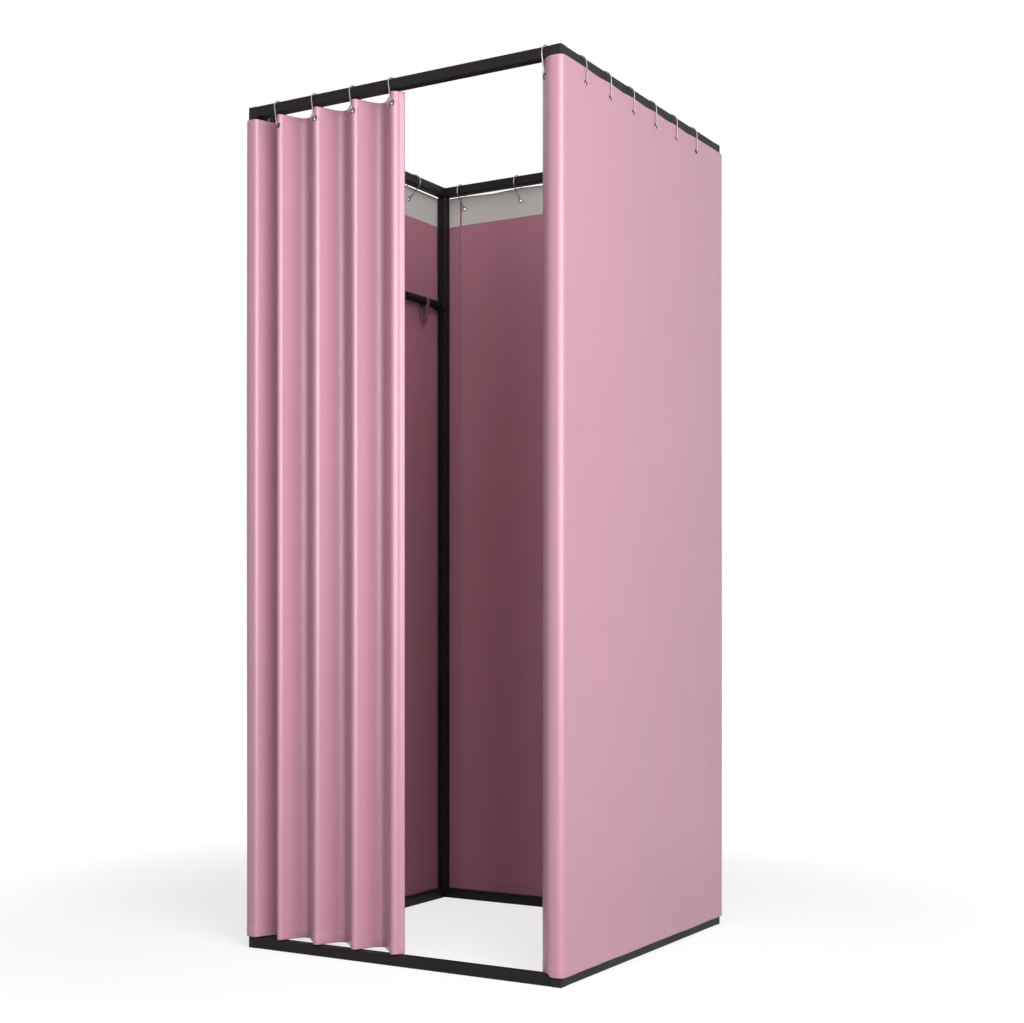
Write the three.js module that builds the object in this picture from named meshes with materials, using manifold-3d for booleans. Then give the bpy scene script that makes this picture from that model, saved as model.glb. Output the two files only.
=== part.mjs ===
// Portable fitting room: a square-tube frame hung with curtains on pear-shaped wire rings.
// Millimetres, +Z up. The doorway faces -Y and the origin is the centre of the footprint on the floor.

import * as THREE from 'three';
import * as BufferGeometryUtils from 'three/addons/utils/BufferGeometryUtils.js';
import Module from 'manifold-3d';

const wasm = await Module();
wasm.setup();

// Driving dimensions of the room
const overallWidth = 850;
const overallDepth = 850;
const overallHeight = 2000;

// Square tube of the frame
const tubeSize = 25;
const tubeWall = 1.2;
const tubeEdgeRadius = 3;
const postSeam = 0.3;
const blockSeam = 0.3;

// Corner connectors, with plug arms that push into the tubes
const cornerRadius = 4;
const blockEdgeRadius = 1;
const plugLength = 36;
const plugClearance = 0.3;
const plugChamfer = 1.5;
const joinerLength = 90;

// Clothes rail between the two left posts
const clothesRailBelowTop = 333;
const clothesRailDiameter = 22;
const clothesRailWall = 1.2;
const socketDiameter = 30;
const socketDepth = 16;
const socketBase = 3;
const socketClearance = 0.3;
const socketLip = 1;

// Garment loop, a bent flat strap that hangs on the clothes rail
const loopWidth = 14;
const loopThickness = 1.6;
const loopClearance = 0.3;
const loopDrop = 46;
const loopFootRadius = 3;
const loopFromPost = 84;

// Pear-shaped wire ring
const wireDiameter = 2.8;
const ringTopRadius = 21.5;
const ringFootRadius = 7;
const ringFootDrop = 37;
const ringGap = 0.8;
const ringSeatClearance = 0.3;
const hangingTilt = THREE.MathUtils.degToRad(25);
const turnedTilt = THREE.MathUtils.degToRad(10);
const drawnLean = THREE.MathUtils.degToRad(10);

// Curtain cloth and its eyelets
const clothThickness = 1.2;
const clothWrapRadius = 21;
const hemHeight = 22;
const doorHemHeight = 28;
const eyeletHole = 10;
const eyeletRim = 17;
const eyeletThickness = 2.4;
const eyeletWireClearance = 1.2;
const eyeletToTop = 34;
const doorEyeletToTop = 30;
const eyeletToEdge = 15;
const cutOverrun = 4;

// Slow swell of the side and back curtains between their rings, and the sag of their top edge there
const swellDepth = 2;
const swellDip = 3;

// Folds of the door curtain, measured out from the middle of the front rail
const foldFront = 19;
const foldBack = -39;
const foldDip = 2;
const doorFreeEdge = 21;
const doorEdgeReach = -3;

// Rings, spread evenly between the first and the last of each side, which lie this far from the posts
const rightRingCount = 6;
const rightRingsFromFront = 73;
const rightRingsFromBack = 142;
const backRingCount = 5;
const backRingsFromLeft = 46;
const backRingsFromRight = 22;
const leftRingCount = 4;
const leftRingsFromFront = 50;
const leftRingsFromBack = 139;
const doorRingCount = 4;
const doorRingsFromLeft = 62.1;
const doorEndRingFromPost = 12;
const frontRingFromPost = 17.4;
const frontEdgeTurn = THREE.MathUtils.degToRad(44);
const panelGap = 4;

// How far the door curtain is drawn across the doorway, as a share of the space between the posts
const doorDrawnShare = 0.484;

// Steps of the round forms
const ringTopSteps = 10;
const ringFootSteps = 6;
const wireSideCount = 6;
const roundSideCount = 20;
const rimSideCount = 14;
const holeSideCount = 12;
const wrapSteps = 5;
const swellSteps = 4;
const foldSteps = 2;
const sectionCount = 4;
const middleShare = 0.5;

// How the right curtain's front edge turns out from its ring to the corner: along the rail, outwards
const curlShares = [
  [0.2, 0.42],
  [0.42, 0.84],
  [0.65, 1],
];

// The door curtain's folds: share of the way to the next ring, of the fold's depth, and of its dip
const firstFoldShares = [
  [0.12, 1, 0],
  [0.22, 0.98, 0],
  [0.28, 0.81, 0.2],
  [0.34, 0.585, 0.4],
  [0.39, 0.38, 0.6],
  [0.445, 0.19, 0.8],
  [0.5, 0.06, 1],
  [0.557, 0, 1],
  [0.62, 0.05, 1],
  [0.7, 0.2, 0.8],
  [0.78, 0.4, 0.6],
  [0.86, 0.65, 0.3],
  [0.925, 0.875, 0],
  [0.965, 0.97, 0],
];
const foldShares = [
  [0.035, 1, 0],
  [0.075, 0.93, 0],
  [0.115, 0.76, 0.1],
  [0.16, 0.57, 0.3],
  [0.215, 0.36, 0.6],
  [0.28, 0.16, 0.8],
  [0.35, 0.035, 1],
  [0.41, 0, 1],
  [0.475, 0.04, 1],
  [0.555, 0.15, 0.8],
  [0.65, 0.33, 0.6],
  [0.75, 0.5, 0.4],
  [0.85, 0.69, 0.2],
  [0.915, 0.865, 0],
  [0.96, 0.965, 0],
];
const lastFoldShares = [
  [0.18, 1, 0],
  [0.42, 0.93, 0],
  [0.72, 0.76, 0],
];

// Finishes
const steelColour = 0x2b292a;
const plasticColour = 0x262526;
const wireColour = 0xd6d6d8;
const strapColour = 0x8c8a88;
const clothColour = 0xcf9bae;

// Values worked out from the driving dimensions
const railMidX = (overallWidth - tubeSize) / 2;
const railMidY = (overallDepth - tubeSize) / 2;
const railMidZ = overallHeight - tubeSize / 2;
const postInsideX = overallWidth / 2 - tubeSize;
const postInsideY = overallDepth / 2 - tubeSize;
const clothesRailHeight = overallHeight - clothesRailBelowTop;
const doorEndRingPlace = doorEndRingFromPost - postInsideY;
const frontRingPlace = postInsideX - frontRingFromPost;
const wireRadius = wireDiameter / 2;
const railCornerReach = tubeSize / 2 - tubeEdgeRadius;
const ringFootReach = ringFootDrop + ringFootRadius;
const hangingReach = ringFootReach * Math.sin(hangingTilt);
const turnedReach = ringFootReach * Math.sin(turnedTilt);
const drawnShift = ringFootReach * Math.cos(hangingTilt) * Math.sin(drawnLean);

const steel = new THREE.MeshStandardMaterial({ color: steelColour, roughness: 0.42, metalness: 0.3 });
const plastic = new THREE.MeshStandardMaterial({ color: plasticColour, roughness: 0.5, metalness: 0 });
const wire = new THREE.MeshStandardMaterial({ color: wireColour, roughness: 0.25, metalness: 1 });
const strap = new THREE.MeshStandardMaterial({ color: strapColour, roughness: 0.45, metalness: 0.6 });
const cloth = new THREE.MeshStandardMaterial({ color: clothColour, roughness: 0.38, metalness: 0 });

const room = new THREE.Group();

// Adds a geometry to the room as a named mesh and returns it.
function addPart(name, geometry, material) {
  const mesh = new THREE.Mesh(geometry, material);
  mesh.name = name;
  room.add(mesh);
  return mesh;
}

// Turns a closed geometry into a solid for cutting and joining.
function toSolid(geometry) {
  const bare = geometry.clone();
  bare.deleteAttribute('normal');
  bare.deleteAttribute('uv');
  const merged = BufferGeometryUtils.mergeVertices(bare);
  return new wasm.Manifold(new wasm.Mesh({
    numProp: 3,
    vertProperties: new Float32Array(merged.attributes.position.array),
    triVerts: new Uint32Array(merged.index.array),
  }));
}

// Turns a solid back into a geometry.
function toGeometry(solid) {
  const mesh = solid.getMesh();
  const geometry = new THREE.BufferGeometry();
  geometry.setAttribute('position', new THREE.BufferAttribute(mesh.vertProperties, 3));
  geometry.setIndex(new THREE.BufferAttribute(mesh.triVerts, 1));
  return geometry;
}

// Traces a square outline with rounded corners, centred on the origin.
function traceRoundedSquare(path, size, radius) {
  const half = size / 2;
  const straight = half - radius;
  path.moveTo(half, -straight);
  path.lineTo(half, straight);
  path.absarc(straight, straight, radius, 0, Math.PI / 2);
  path.lineTo(-straight, half);
  path.absarc(-straight, straight, radius, Math.PI / 2, Math.PI);
  path.lineTo(-half, -straight);
  path.absarc(-straight, -straight, radius, Math.PI, 1.5 * Math.PI);
  path.lineTo(straight, -half);
  path.absarc(straight, -straight, radius, 1.5 * Math.PI, 2 * Math.PI);
  return path;
}

// Makes a length of square tube that stands on the floor plane.
function squareTube(length) {
  const outline = traceRoundedSquare(new THREE.Shape(), tubeSize, tubeEdgeRadius);
  const bore = tubeSize - 2 * tubeWall;
  outline.holes.push(traceRoundedSquare(new THREE.Path(), bore, tubeEdgeRadius - tubeWall));
  return new THREE.ExtrudeGeometry(outline, { depth: length, bevelEnabled: false, curveSegments: 2 });
}

// Makes a solid plug that slides into a tube, with chamfered ends, from z = 0 up to its length.
function tubePlug(length) {
  const bore = tubeSize - 2 * tubeWall;
  const size = bore - 2 * plugClearance;
  const outline = traceRoundedSquare(new THREE.Shape(), size - 2 * plugChamfer, plugChamfer);
  const geometry = new THREE.ExtrudeGeometry(outline, {
    depth: length - 2 * plugChamfer,
    bevelThickness: plugChamfer,
    bevelSize: plugChamfer,
    bevelSegments: 1,
    curveSegments: 1,
  });
  return geometry.translate(0, 0, plugChamfer);
}

// Turns a geometry that runs up +Z so that it runs along another axis.
function alongX(geometry) {
  return geometry.rotateY(Math.PI / 2);
}

function alongY(geometry) {
  return geometry.rotateX(-Math.PI / 2);
}

// Makes the flush corner block of one connector, with its outside vertical edge rounded at -X -Y.
function cornerBlock() {
  const half = tubeSize / 2 - blockEdgeRadius;
  const round = cornerRadius - blockEdgeRadius;
  const outline = new THREE.Shape();
  outline.moveTo(half, half);
  outline.lineTo(-half, half);
  outline.lineTo(-half, round - half);
  outline.absarc(round - half, round - half, round, Math.PI, 1.5 * Math.PI);
  outline.lineTo(half, -half);
  outline.closePath();
  const geometry = new THREE.ExtrudeGeometry(outline, {
    depth: tubeSize - 2 * blockEdgeRadius,
    bevelThickness: blockEdgeRadius,
    bevelSize: blockEdgeRadius,
    bevelSegments: 1,
    curveSegments: 6,
  });
  return geometry.translate(0, 0, blockEdgeRadius - tubeSize / 2);
}

// Makes one three-way connector: a block with plug arms along +X, +Y and up or down.
function cornerConnector(armUp) {
  const reach = plugLength + tubeSize / 2;
  const armX = alongX(tubePlug(reach));
  const armY = alongY(tubePlug(reach));
  const armZ = tubePlug(reach);
  if (!armUp) {
    armZ.rotateX(Math.PI);
  }
  return toGeometry(toSolid(cornerBlock()).add(toSolid(armX)).add(toSolid(armY)).add(toSolid(armZ)));
}

// The corners of the room anticlockwise from the front left, each with its side of X and of Y.
const roomCorners = [
  ['front_left', -1, -1],
  ['front_right', 1, -1],
  ['back_right', 1, 1],
  ['back_left', -1, 1],
];

// Places the eight connectors, each turned so that its rounded edge faces outwards.
function addCornerConnectors() {
  roomCorners.forEach(([corner, sideX, sideY], quarterTurns) => {
    for (const [level, height, armUp] of [['base', tubeSize / 2, true], ['top', railMidZ, false]]) {
      const block = addPart(`${level}_corner_${corner}`, cornerConnector(armUp), plastic);
      block.rotation.z = quarterTurns * Math.PI / 2;
      block.position.set(sideX * railMidX, sideY * railMidY, height);
    }
  });
}

// Adds the four rails of the base or of the top, between the corner blocks.
function addRails(level, height) {
  const lengthX = overallWidth - 2 * tubeSize - 2 * blockSeam;
  const lengthY = overallDepth - 2 * tubeSize - 2 * blockSeam;
  for (const [place, side] of [['front', -1], ['back', 1]]) {
    const rail = addPart(`${level}_rail_${place}`, alongX(squareTube(lengthX)), steel);
    rail.position.set(-lengthX / 2, side * railMidY, height);
  }
  for (const [place, side] of [['left', -1], ['right', 1]]) {
    const rail = addPart(`${level}_rail_${place}`, alongY(squareTube(lengthY)), steel);
    rail.position.set(side * railMidX, -lengthY / 2, height);
  }
}

// Adds the four posts, each in two lengths over a plug that joins them inside.
function addPosts() {
  const lowEnd = tubeSize + blockSeam;
  const highEnd = overallHeight - tubeSize - blockSeam;
  const middle = overallHeight / 2;
  const lowerLength = middle - postSeam / 2 - lowEnd;
  const upperLength = highEnd - middle - postSeam / 2;
  for (const [corner, sideX, sideY] of roomCorners) {
    const lower = addPart(`lower_post_${corner}`, squareTube(lowerLength), steel);
    lower.position.set(sideX * railMidX, sideY * railMidY, lowEnd);
    const upper = addPart(`upper_post_${corner}`, squareTube(upperLength), steel);
    upper.position.set(sideX * railMidX, sideY * railMidY, highEnd - upperLength);
    const joiner = addPart(`post_joiner_${corner}`, tubePlug(joinerLength), plastic);
    joiner.position.set(sideX * railMidX, sideY * railMidY, middle - joinerLength / 2);
  }
}

// Adds the round clothes rail and the two cups that hold its ends on the left posts.
function addClothesRail() {
  const radius = clothesRailDiameter / 2;
  const bore = radius - clothesRailWall;
  const railEnd = postInsideY - blockSeam - socketBase - socketClearance;
  const railProfile = [
    new THREE.Vector2(bore, -railEnd),
    new THREE.Vector2(radius, -railEnd),
    new THREE.Vector2(radius, railEnd),
    new THREE.Vector2(bore, railEnd),
    new THREE.Vector2(bore, -railEnd),
  ];
  const rail = addPart('clothes_rail', new THREE.LatheGeometry(railProfile, roundSideCount), steel);
  rail.position.set(-railMidX, 0, clothesRailHeight);

  const cupBore = radius + socketClearance;
  const cupRadius = socketDiameter / 2;
  const cupProfile = [
    new THREE.Vector2(0, 0),
    new THREE.Vector2(cupRadius, 0),
    new THREE.Vector2(cupRadius, socketDepth - socketLip),
    new THREE.Vector2(cupRadius - socketLip, socketDepth),
    new THREE.Vector2(cupBore, socketDepth),
    new THREE.Vector2(cupBore, socketBase),
    new THREE.Vector2(0, socketBase),
  ];
  for (const [place, side] of [['front', -1], ['back', 1]]) {
    const cup = new THREE.LatheGeometry(cupProfile, roundSideCount);
    if (side > 0) {
      cup.rotateX(Math.PI);
    }
    const mesh = addPart(`rail_socket_${place}`, cup, plastic);
    mesh.position.set(-railMidX, side * (postInsideY - blockSeam), clothesRailHeight);
  }
}

// Traces a loop round a circle at the origin and a smaller one below it, joined by tangents.
function traceLoop(path, topRadius, footRadius, drop) {
  const lean = Math.asin((topRadius - footRadius) / drop);
  path.absarc(0, 0, topRadius, -lean, Math.PI + lean);
  path.absarc(0, -drop, footRadius, Math.PI + lean, 2 * Math.PI - lean);
  path.closePath();
  return path;
}

// Makes the strap that hangs on the clothes rail for garments to be hung from.
function addGarmentLoop() {
  const inner = clothesRailDiameter / 2 + loopClearance;
  const drop = clothesRailDiameter / 2 + loopDrop - loopThickness - loopFootRadius;
  const outline = traceLoop(new THREE.Shape(), inner + loopThickness, loopFootRadius + loopThickness, drop);
  outline.holes.push(traceLoop(new THREE.Path(), inner, loopFootRadius, drop));
  const geometry = new THREE.ExtrudeGeometry(outline, {
    depth: loopWidth,
    bevelEnabled: false,
    curveSegments: 8,
  });
  geometry.rotateX(Math.PI / 2);
  const mesh = addPart('garment_loop', geometry, strap);
  mesh.position.set(-railMidX, postInsideY - loopFromPost + loopWidth / 2, clothesRailHeight);
}

// The centre line of a ring in its own plane, in equal steps over each stretch: half a leg, the wide
// arc over the rail, the other leg, the narrow arc in the eyelet, and the half leg up to the wire's end.
class RingCurve extends THREE.Curve {
  constructor() {
    super();
    const lean = Math.asin((ringTopRadius - ringFootRadius) / ringFootDrop);
    const topArc = arcPoints(0, ringTopRadius, Math.PI + lean, -lean, ringTopSteps);
    const footArc = arcPoints(ringFootDrop, ringFootRadius, -lean, lean - Math.PI, ringFootSteps);
    const highEnd = topArc[0];
    const lowEnd = footArc[ringFootSteps];
    const leg = highEnd.clone().sub(lowEnd).normalize();
    const middle = highEnd.clone().lerp(lowEnd, middleShare);
    this.first = middle.clone().addScaledVector(leg, ringGap / 2);
    this.last = middle.clone().addScaledVector(leg, -ringGap / 2);
    this.points = [this.first, ...topArc, ...footArc, this.last];
    this.steps = this.points.length - 1;
  }

  getPoint(t) {
    const place = Math.min(Math.max(t, 0), 1) * this.steps;
    const index = Math.min(Math.floor(place), this.steps - 1);
    return this.points[index].clone().lerp(this.points[index + 1], place - index);
  }

  getPointAt(u) {
    return this.getPoint(u);
  }

  getTangentAt(u) {
    return this.getTangent(u);
  }
}

// Lists the points of an arc whose centre lies below the origin by the given drop.
function arcPoints(drop, radius, fromAngle, toAngle, steps) {
  const points = [];
  for (let step = 0; step <= steps; step += 1) {
    const angle = fromAngle + (toAngle - fromAngle) * step / steps;
    points.push(new THREE.Vector3(radius * Math.cos(angle), radius * Math.sin(angle) - drop, 0));
  }
  return points;
}

// The height of a ring's centre with the given lean: its wide arc clears the two upper edges of the rail.
function ringHeight(lean) {
  const across = (wireRadius + tubeEdgeRadius + ringSeatClearance) / Math.cos(lean);
  const rise = Math.sqrt((ringTopRadius - across) ** 2 - railCornerReach ** 2) * Math.cos(lean);
  return railMidZ + railCornerReach - rise;
}

// Makes one wire ring about the centre of its wide arc, in the YZ plane, tilted so that its foot swings
// towards +Y, and then leaned so that its foot swings towards -X.
function wireRing(tilt, lean) {
  const section = new THREE.Shape();
  section.absarc(0, 0, wireRadius, 0, 2 * Math.PI);
  const curve = new RingCurve();
  const geometry = new THREE.ExtrudeGeometry(section, {
    extrudePath: curve,
    steps: curve.steps,
    curveSegments: wireSideCount / 2,
  });
  geometry.rotateZ(tilt);
  geometry.rotateX(Math.PI / 2);
  geometry.rotateZ(Math.PI / 2);
  return geometry.rotateY(lean);
}

// The four sides of the room anticlockwise from the back: a ring's place in this list is the number of
// quarter turns that take its foot from +Y to that side's outside.
const sideOrder = ['back', 'left', 'front', 'right'];

// Gives the plan point that lies beside a rail: a place along it and a reach out from its middle.
function beside(side, along, reach) {
  switch (side) {
    case 'front':
      return new THREE.Vector2(along, -railMidY - reach);
    case 'right':
      return new THREE.Vector2(railMidX + reach, along);
    case 'back':
      return new THREE.Vector2(along, railMidY + reach);
    default:
      return new THREE.Vector2(-railMidX - reach, along);
  }
}

// Hangs one ring on the rail of a side.
function addRing(name, side, along, tilt, lean = 0) {
  const ring = addPart(name, wireRing(tilt, lean), wire);
  const place = beside(side, along, 0);
  ring.rotation.z = sideOrder.indexOf(side) * Math.PI / 2;
  ring.position.set(place.x, place.y, ringHeight(lean));
}

// Lists the places of rings spread evenly from the first to the last.
function ringPlaces(first, last, count) {
  return Array.from({ length: count }, (_, index) => first + (last - first) * index / (count - 1));
}

const rightRings = ringPlaces(
  rightRingsFromFront - postInsideY,
  postInsideY - rightRingsFromBack,
  rightRingCount,
);
const backRings = ringPlaces(
  backRingsFromLeft - postInsideX,
  postInsideX - backRingsFromRight,
  backRingCount,
);
const leftRings = ringPlaces(
  leftRingsFromFront - postInsideY,
  postInsideY - leftRingsFromBack,
  leftRingCount,
);
const doorRings = ringPlaces(
  doorRingsFromLeft - postInsideX,
  2 * postInsideX * doorDrawnShare - postInsideX,
  doorRingCount,
);

function addRings() {
  rightRings.forEach((along, index) => addRing(`right_ring_${index + 1}`, 'right', along, hangingTilt));
  backRings.forEach((along, index) => addRing(`back_ring_${index + 1}`, 'back', along, hangingTilt));
  leftRings.forEach((along, index) => addRing(`left_ring_${index + 1}`, 'left', along, hangingTilt));
  doorRings.forEach((along, index) => (
    addRing(`door_ring_${index + 1}`, 'front', along, hangingTilt, drawnLean)
  ));
  addRing('door_end_ring', 'left', doorEndRingPlace, hangingTilt);
  addRing('front_ring', 'front', frontRingPlace, turnedTilt);
}

// One station of a curtain's plan: its place, how far its top edge dips, and how the ring of an eyelet
// there tilts and leans.
function station(point, dip = 0, tilt = null, lean = 0) {
  return { point, dip, tilt, lean };
}

// Lists the stations round one corner of the room, from one side to the next anticlockwise.
function cornerStations(sideX, sideY, fromAngle) {
  const centreX = sideX * (railMidX + hangingReach - clothWrapRadius);
  const centreY = sideY * (railMidY + hangingReach - clothWrapRadius);
  const stations = [];
  for (let step = 0; step <= wrapSteps; step += 1) {
    const angle = fromAngle + Math.PI / 2 * step / wrapSteps;
    const x = centreX + clothWrapRadius * Math.cos(angle);
    const y = centreY + clothWrapRadius * Math.sin(angle);
    stations.push(station(new THREE.Vector2(x, y)));
  }
  return stations;
}

// Lists the stations along a side that hang flat, swelling a little between the rings.
function hangingStations(side, rings) {
  const stations = [];
  for (let index = 0; index < rings.length; index += 1) {
    stations.push(station(beside(side, rings[index], hangingReach), 0, hangingTilt));
    if (index + 1 < rings.length) {
      for (let step = 1; step < swellSteps; step += 1) {
        const share = step / swellSteps;
        const along = rings[index] + (rings[index + 1] - rings[index]) * share;
        const swellShare = Math.sin(Math.PI * share) ** 2;
        const place = beside(side, along, hangingReach + swellDepth * swellShare);
        stations.push(station(place, swellDip * swellShare));
      }
    }
  }
  return stations;
}

// Rounds a list of stations with a curve through all of them.
function roundedStations(stations) {
  const controls = stations.map(({ point, dip }) => new THREE.Vector3(point.x, point.y, dip));
  const curve = new THREE.CatmullRomCurve3(controls, false, 'centripetal');
  const count = (stations.length - 1) * foldSteps;
  const rounded = [];
  for (let index = 0; index <= count; index += 1) {
    const place = curve.getPoint(index / count);
    const onControl = index % foldSteps === 0;
    const { tilt, lean } = onControl ? stations[index / foldSteps] : station(place);
    rounded.push(station(new THREE.Vector2(place.x, place.y), place.z, tilt, lean));
  }
  return rounded;
}

// The height of the eyelet's middle on a ring with the given tilt and lean.
function eyeletHeight(tilt, lean) {
  const wireHeight = ringHeight(lean) - ringFootReach * Math.cos(tilt) * Math.cos(lean);
  return wireHeight + wireRadius + eyeletWireClearance - eyeletHole / 2;
}

// The direction out of the room at one station, level and square to the cloth.
function outwards(stations, index) {
  const before = stations[Math.max(index - 1, 0)].point;
  const after = stations[Math.min(index + 1, stations.length - 1)].point;
  const travel = after.clone().sub(before).normalize();
  return new THREE.Vector2(travel.y, -travel.x);
}

// The height of a hem at one point: where the cloth turns in over the base rail, it clears the rail.
function hemAt(point, hem) {
  const reach = Math.max(Math.abs(point.x) - railMidX, Math.abs(point.y) - railMidY);
  const overRail = tubeSize / 2 + clothThickness;
  const share = THREE.MathUtils.clamp((hangingReach - reach) / (hangingReach - overRail), 0, 1);
  return Math.max(hem, hemHeight + (doorHemHeight - hemHeight) * share);
}

// Makes the plain sheet of a curtain: a thin wall over its plan, from its hem to its top edge.
function sheet(stations, hem, top) {
  const positions = [];
  const indices = [];
  stations.forEach(({ point, dip }, index) => {
    const out = outwards(stations, index).multiplyScalar(clothThickness / 2);
    const low = hemAt(point, hem);
    const high = top - dip;
    positions.push(point.x + out.x, point.y + out.y, low);
    positions.push(point.x + out.x, point.y + out.y, high);
    positions.push(point.x - out.x, point.y - out.y, high);
    positions.push(point.x - out.x, point.y - out.y, low);
  });
  for (let index = 0; index + 1 < stations.length; index += 1) {
    for (let corner = 0; corner < sectionCount; corner += 1) {
      const near = index * sectionCount + corner;
      const nearNext = index * sectionCount + (corner + 1) % sectionCount;
      indices.push(near, near + sectionCount, nearNext + sectionCount);
      indices.push(near, nearNext + sectionCount, nearNext);
    }
  }
  const last = (stations.length - 1) * sectionCount;
  indices.push(0, 1, 2, 0, 2, 3);
  indices.push(last, last + 2, last + 1, last, last + 3, last + 2);
  const geometry = new THREE.BufferGeometry();
  geometry.setAttribute('position', new THREE.Float32BufferAttribute(positions, 3));
  geometry.setIndex(indices);
  return geometry;
}

// Makes a short round bar through the cloth at an eyelet.
function eyeletBar(stations, index, radius, length, segments) {
  const out = outwards(stations, index);
  const bar = new THREE.CylinderGeometry(radius, radius, length, segments);
  bar.rotateZ(Math.PI / 2);
  bar.rotateZ(Math.atan2(out.y, out.x));
  const { point, tilt, lean } = stations[index];
  return toSolid(bar.translate(point.x, point.y, eyeletHeight(tilt, lean)));
}

// Adds one curtain with the rims and holes of its eyelets.
function addCurtain(name, stations, hem, top) {
  let solid = toSolid(sheet(stations, hem, top));
  stations.forEach(({ tilt }, index) => {
    if (tilt !== null) {
      solid = solid.add(eyeletBar(stations, index, eyeletRim / 2, eyeletThickness, rimSideCount));
      const cutLength = eyeletThickness + 2 * cutOverrun;
      solid = solid.subtract(eyeletBar(stations, index, eyeletHole / 2, cutLength, holeSideCount));
    }
  });
  addPart(name, toGeometry(solid), cloth);
}

// The right curtain: its front edge turns in round a ring, then it wraps both right corners.
function rightStations() {
  const cornerStart = railMidX + hangingReach - clothWrapRadius;
  const backAlong = eyeletToEdge * Math.cos(frontEdgeTurn);
  const backIn = eyeletToEdge * Math.sin(frontEdgeTurn);
  const turned = curlShares.map(([alongShare, outShare]) => station(beside(
    'front',
    frontRingPlace + (cornerStart - frontRingPlace) * alongShare,
    turnedReach + (hangingReach - turnedReach) * outShare,
  )));
  const curl = roundedStations([
    station(beside('front', frontRingPlace - backAlong, turnedReach - backIn)),
    station(beside('front', frontRingPlace, turnedReach), 0, turnedTilt),
    ...turned,
  ]);
  return [
    ...curl,
    ...cornerStations(1, -1, -Math.PI / 2),
    ...hangingStations('right', rightRings),
    ...cornerStations(1, 1, 0),
    station(beside('back', backRings[backRings.length - 1] + eyeletToEdge + panelGap, hangingReach)),
  ];
}

// The back curtain hangs between the other two.
function backStations() {
  const rings = backRings.toReversed();
  return [
    station(beside('back', rings[0] + eyeletToEdge, hangingReach)),
    ...hangingStations('back', rings),
    station(beside('back', rings[rings.length - 1] - eyeletToEdge, hangingReach)),
  ];
}

// The left curtain wraps the back left corner and runs up to the door curtain.
function leftStations() {
  return [
    station(beside('back', backRings[0] - eyeletToEdge - panelGap, hangingReach)),
    ...cornerStations(-1, 1, Math.PI / 2),
    ...hangingStations('left', leftRings.toReversed()),
    station(beside('left', doorEndRingPlace + eyeletToEdge + panelGap, hangingReach)),
  ];
}

// Gives a station of the door curtain at a share of the way between two places along the front rail.
function foldStation(from, to, [alongShare, outShare, dipShare]) {
  const reach = foldBack + (foldFront - foldBack) * outShare;
  return station(beside('front', from + (to - from) * alongShare, reach), foldDip * dipShare);
}

// The door curtain is held round the front left corner and hangs in deep folds, one to each ring.
function doorStations() {
  const doorEyelets = doorRings.map((ring) => ring + drawnShift);
  const corner = cornerStations(-1, -1, Math.PI);
  const cornerEnd = corner[corner.length - 1].point.x;
  const folds = [
    station(beside('left', doorEndRingPlace + eyeletToEdge, hangingReach)),
    station(beside('left', doorEndRingPlace, hangingReach), 0, hangingTilt),
    ...corner,
    ...firstFoldShares.map((shares) => foldStation(cornerEnd, doorEyelets[0], shares)),
  ];
  for (let index = 0; index < doorEyelets.length; index += 1) {
    const eyelet = doorEyelets[index];
    folds.push(station(beside('front', eyelet, hangingReach), 0, hangingTilt, drawnLean));
    if (index + 1 < doorEyelets.length) {
      folds.push(...foldShares.map((shares) => foldStation(eyelet, doorEyelets[index + 1], shares)));
    } else {
      folds.push(...lastFoldShares.map((shares) => foldStation(eyelet, eyelet + doorFreeEdge, shares)));
      folds.push(station(beside('front', eyelet + doorFreeEdge, doorEdgeReach)));
    }
  }
  return roundedStations(folds);
}

// Hangs the four curtains.
function addCurtains() {
  const hangingTop = eyeletHeight(hangingTilt, 0) + eyeletToTop;
  const doorTop = eyeletHeight(hangingTilt, drawnLean) + doorEyeletToTop;
  addCurtain('right_curtain', rightStations(), hemHeight, hangingTop);
  addCurtain('back_curtain', backStations(), hemHeight, hangingTop);
  addCurtain('left_curtain', leftStations(), hemHeight, hangingTop);
  addCurtain('door_curtain', doorStations(), doorHemHeight, doorTop);
}

addRails('base', tubeSize / 2);
addRails('top', railMidZ);
addPosts();
addCornerConnectors();
addClothesRail();
addGarmentLoop();
addRings();
addCurtains();

export default room;
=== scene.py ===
"""Looks of the portable fitting room: curtain cloth, wire rings, steel tube and plastic fittings.

Every length is in metres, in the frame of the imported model: +Z up, the doorway faces -Y and the origin is
the centre of the footprint on the floor. A curtain is one smooth line seen from above, drawn down from
its top edge to its hem, so most places on cloth are given by an arc length along that line and a height.
"""

import logging
from collections.abc import Callable
from dataclasses import dataclass, field
from enum import Enum
from math import asin, atan2, cos, hypot, pi, radians, sin, sqrt

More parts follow.
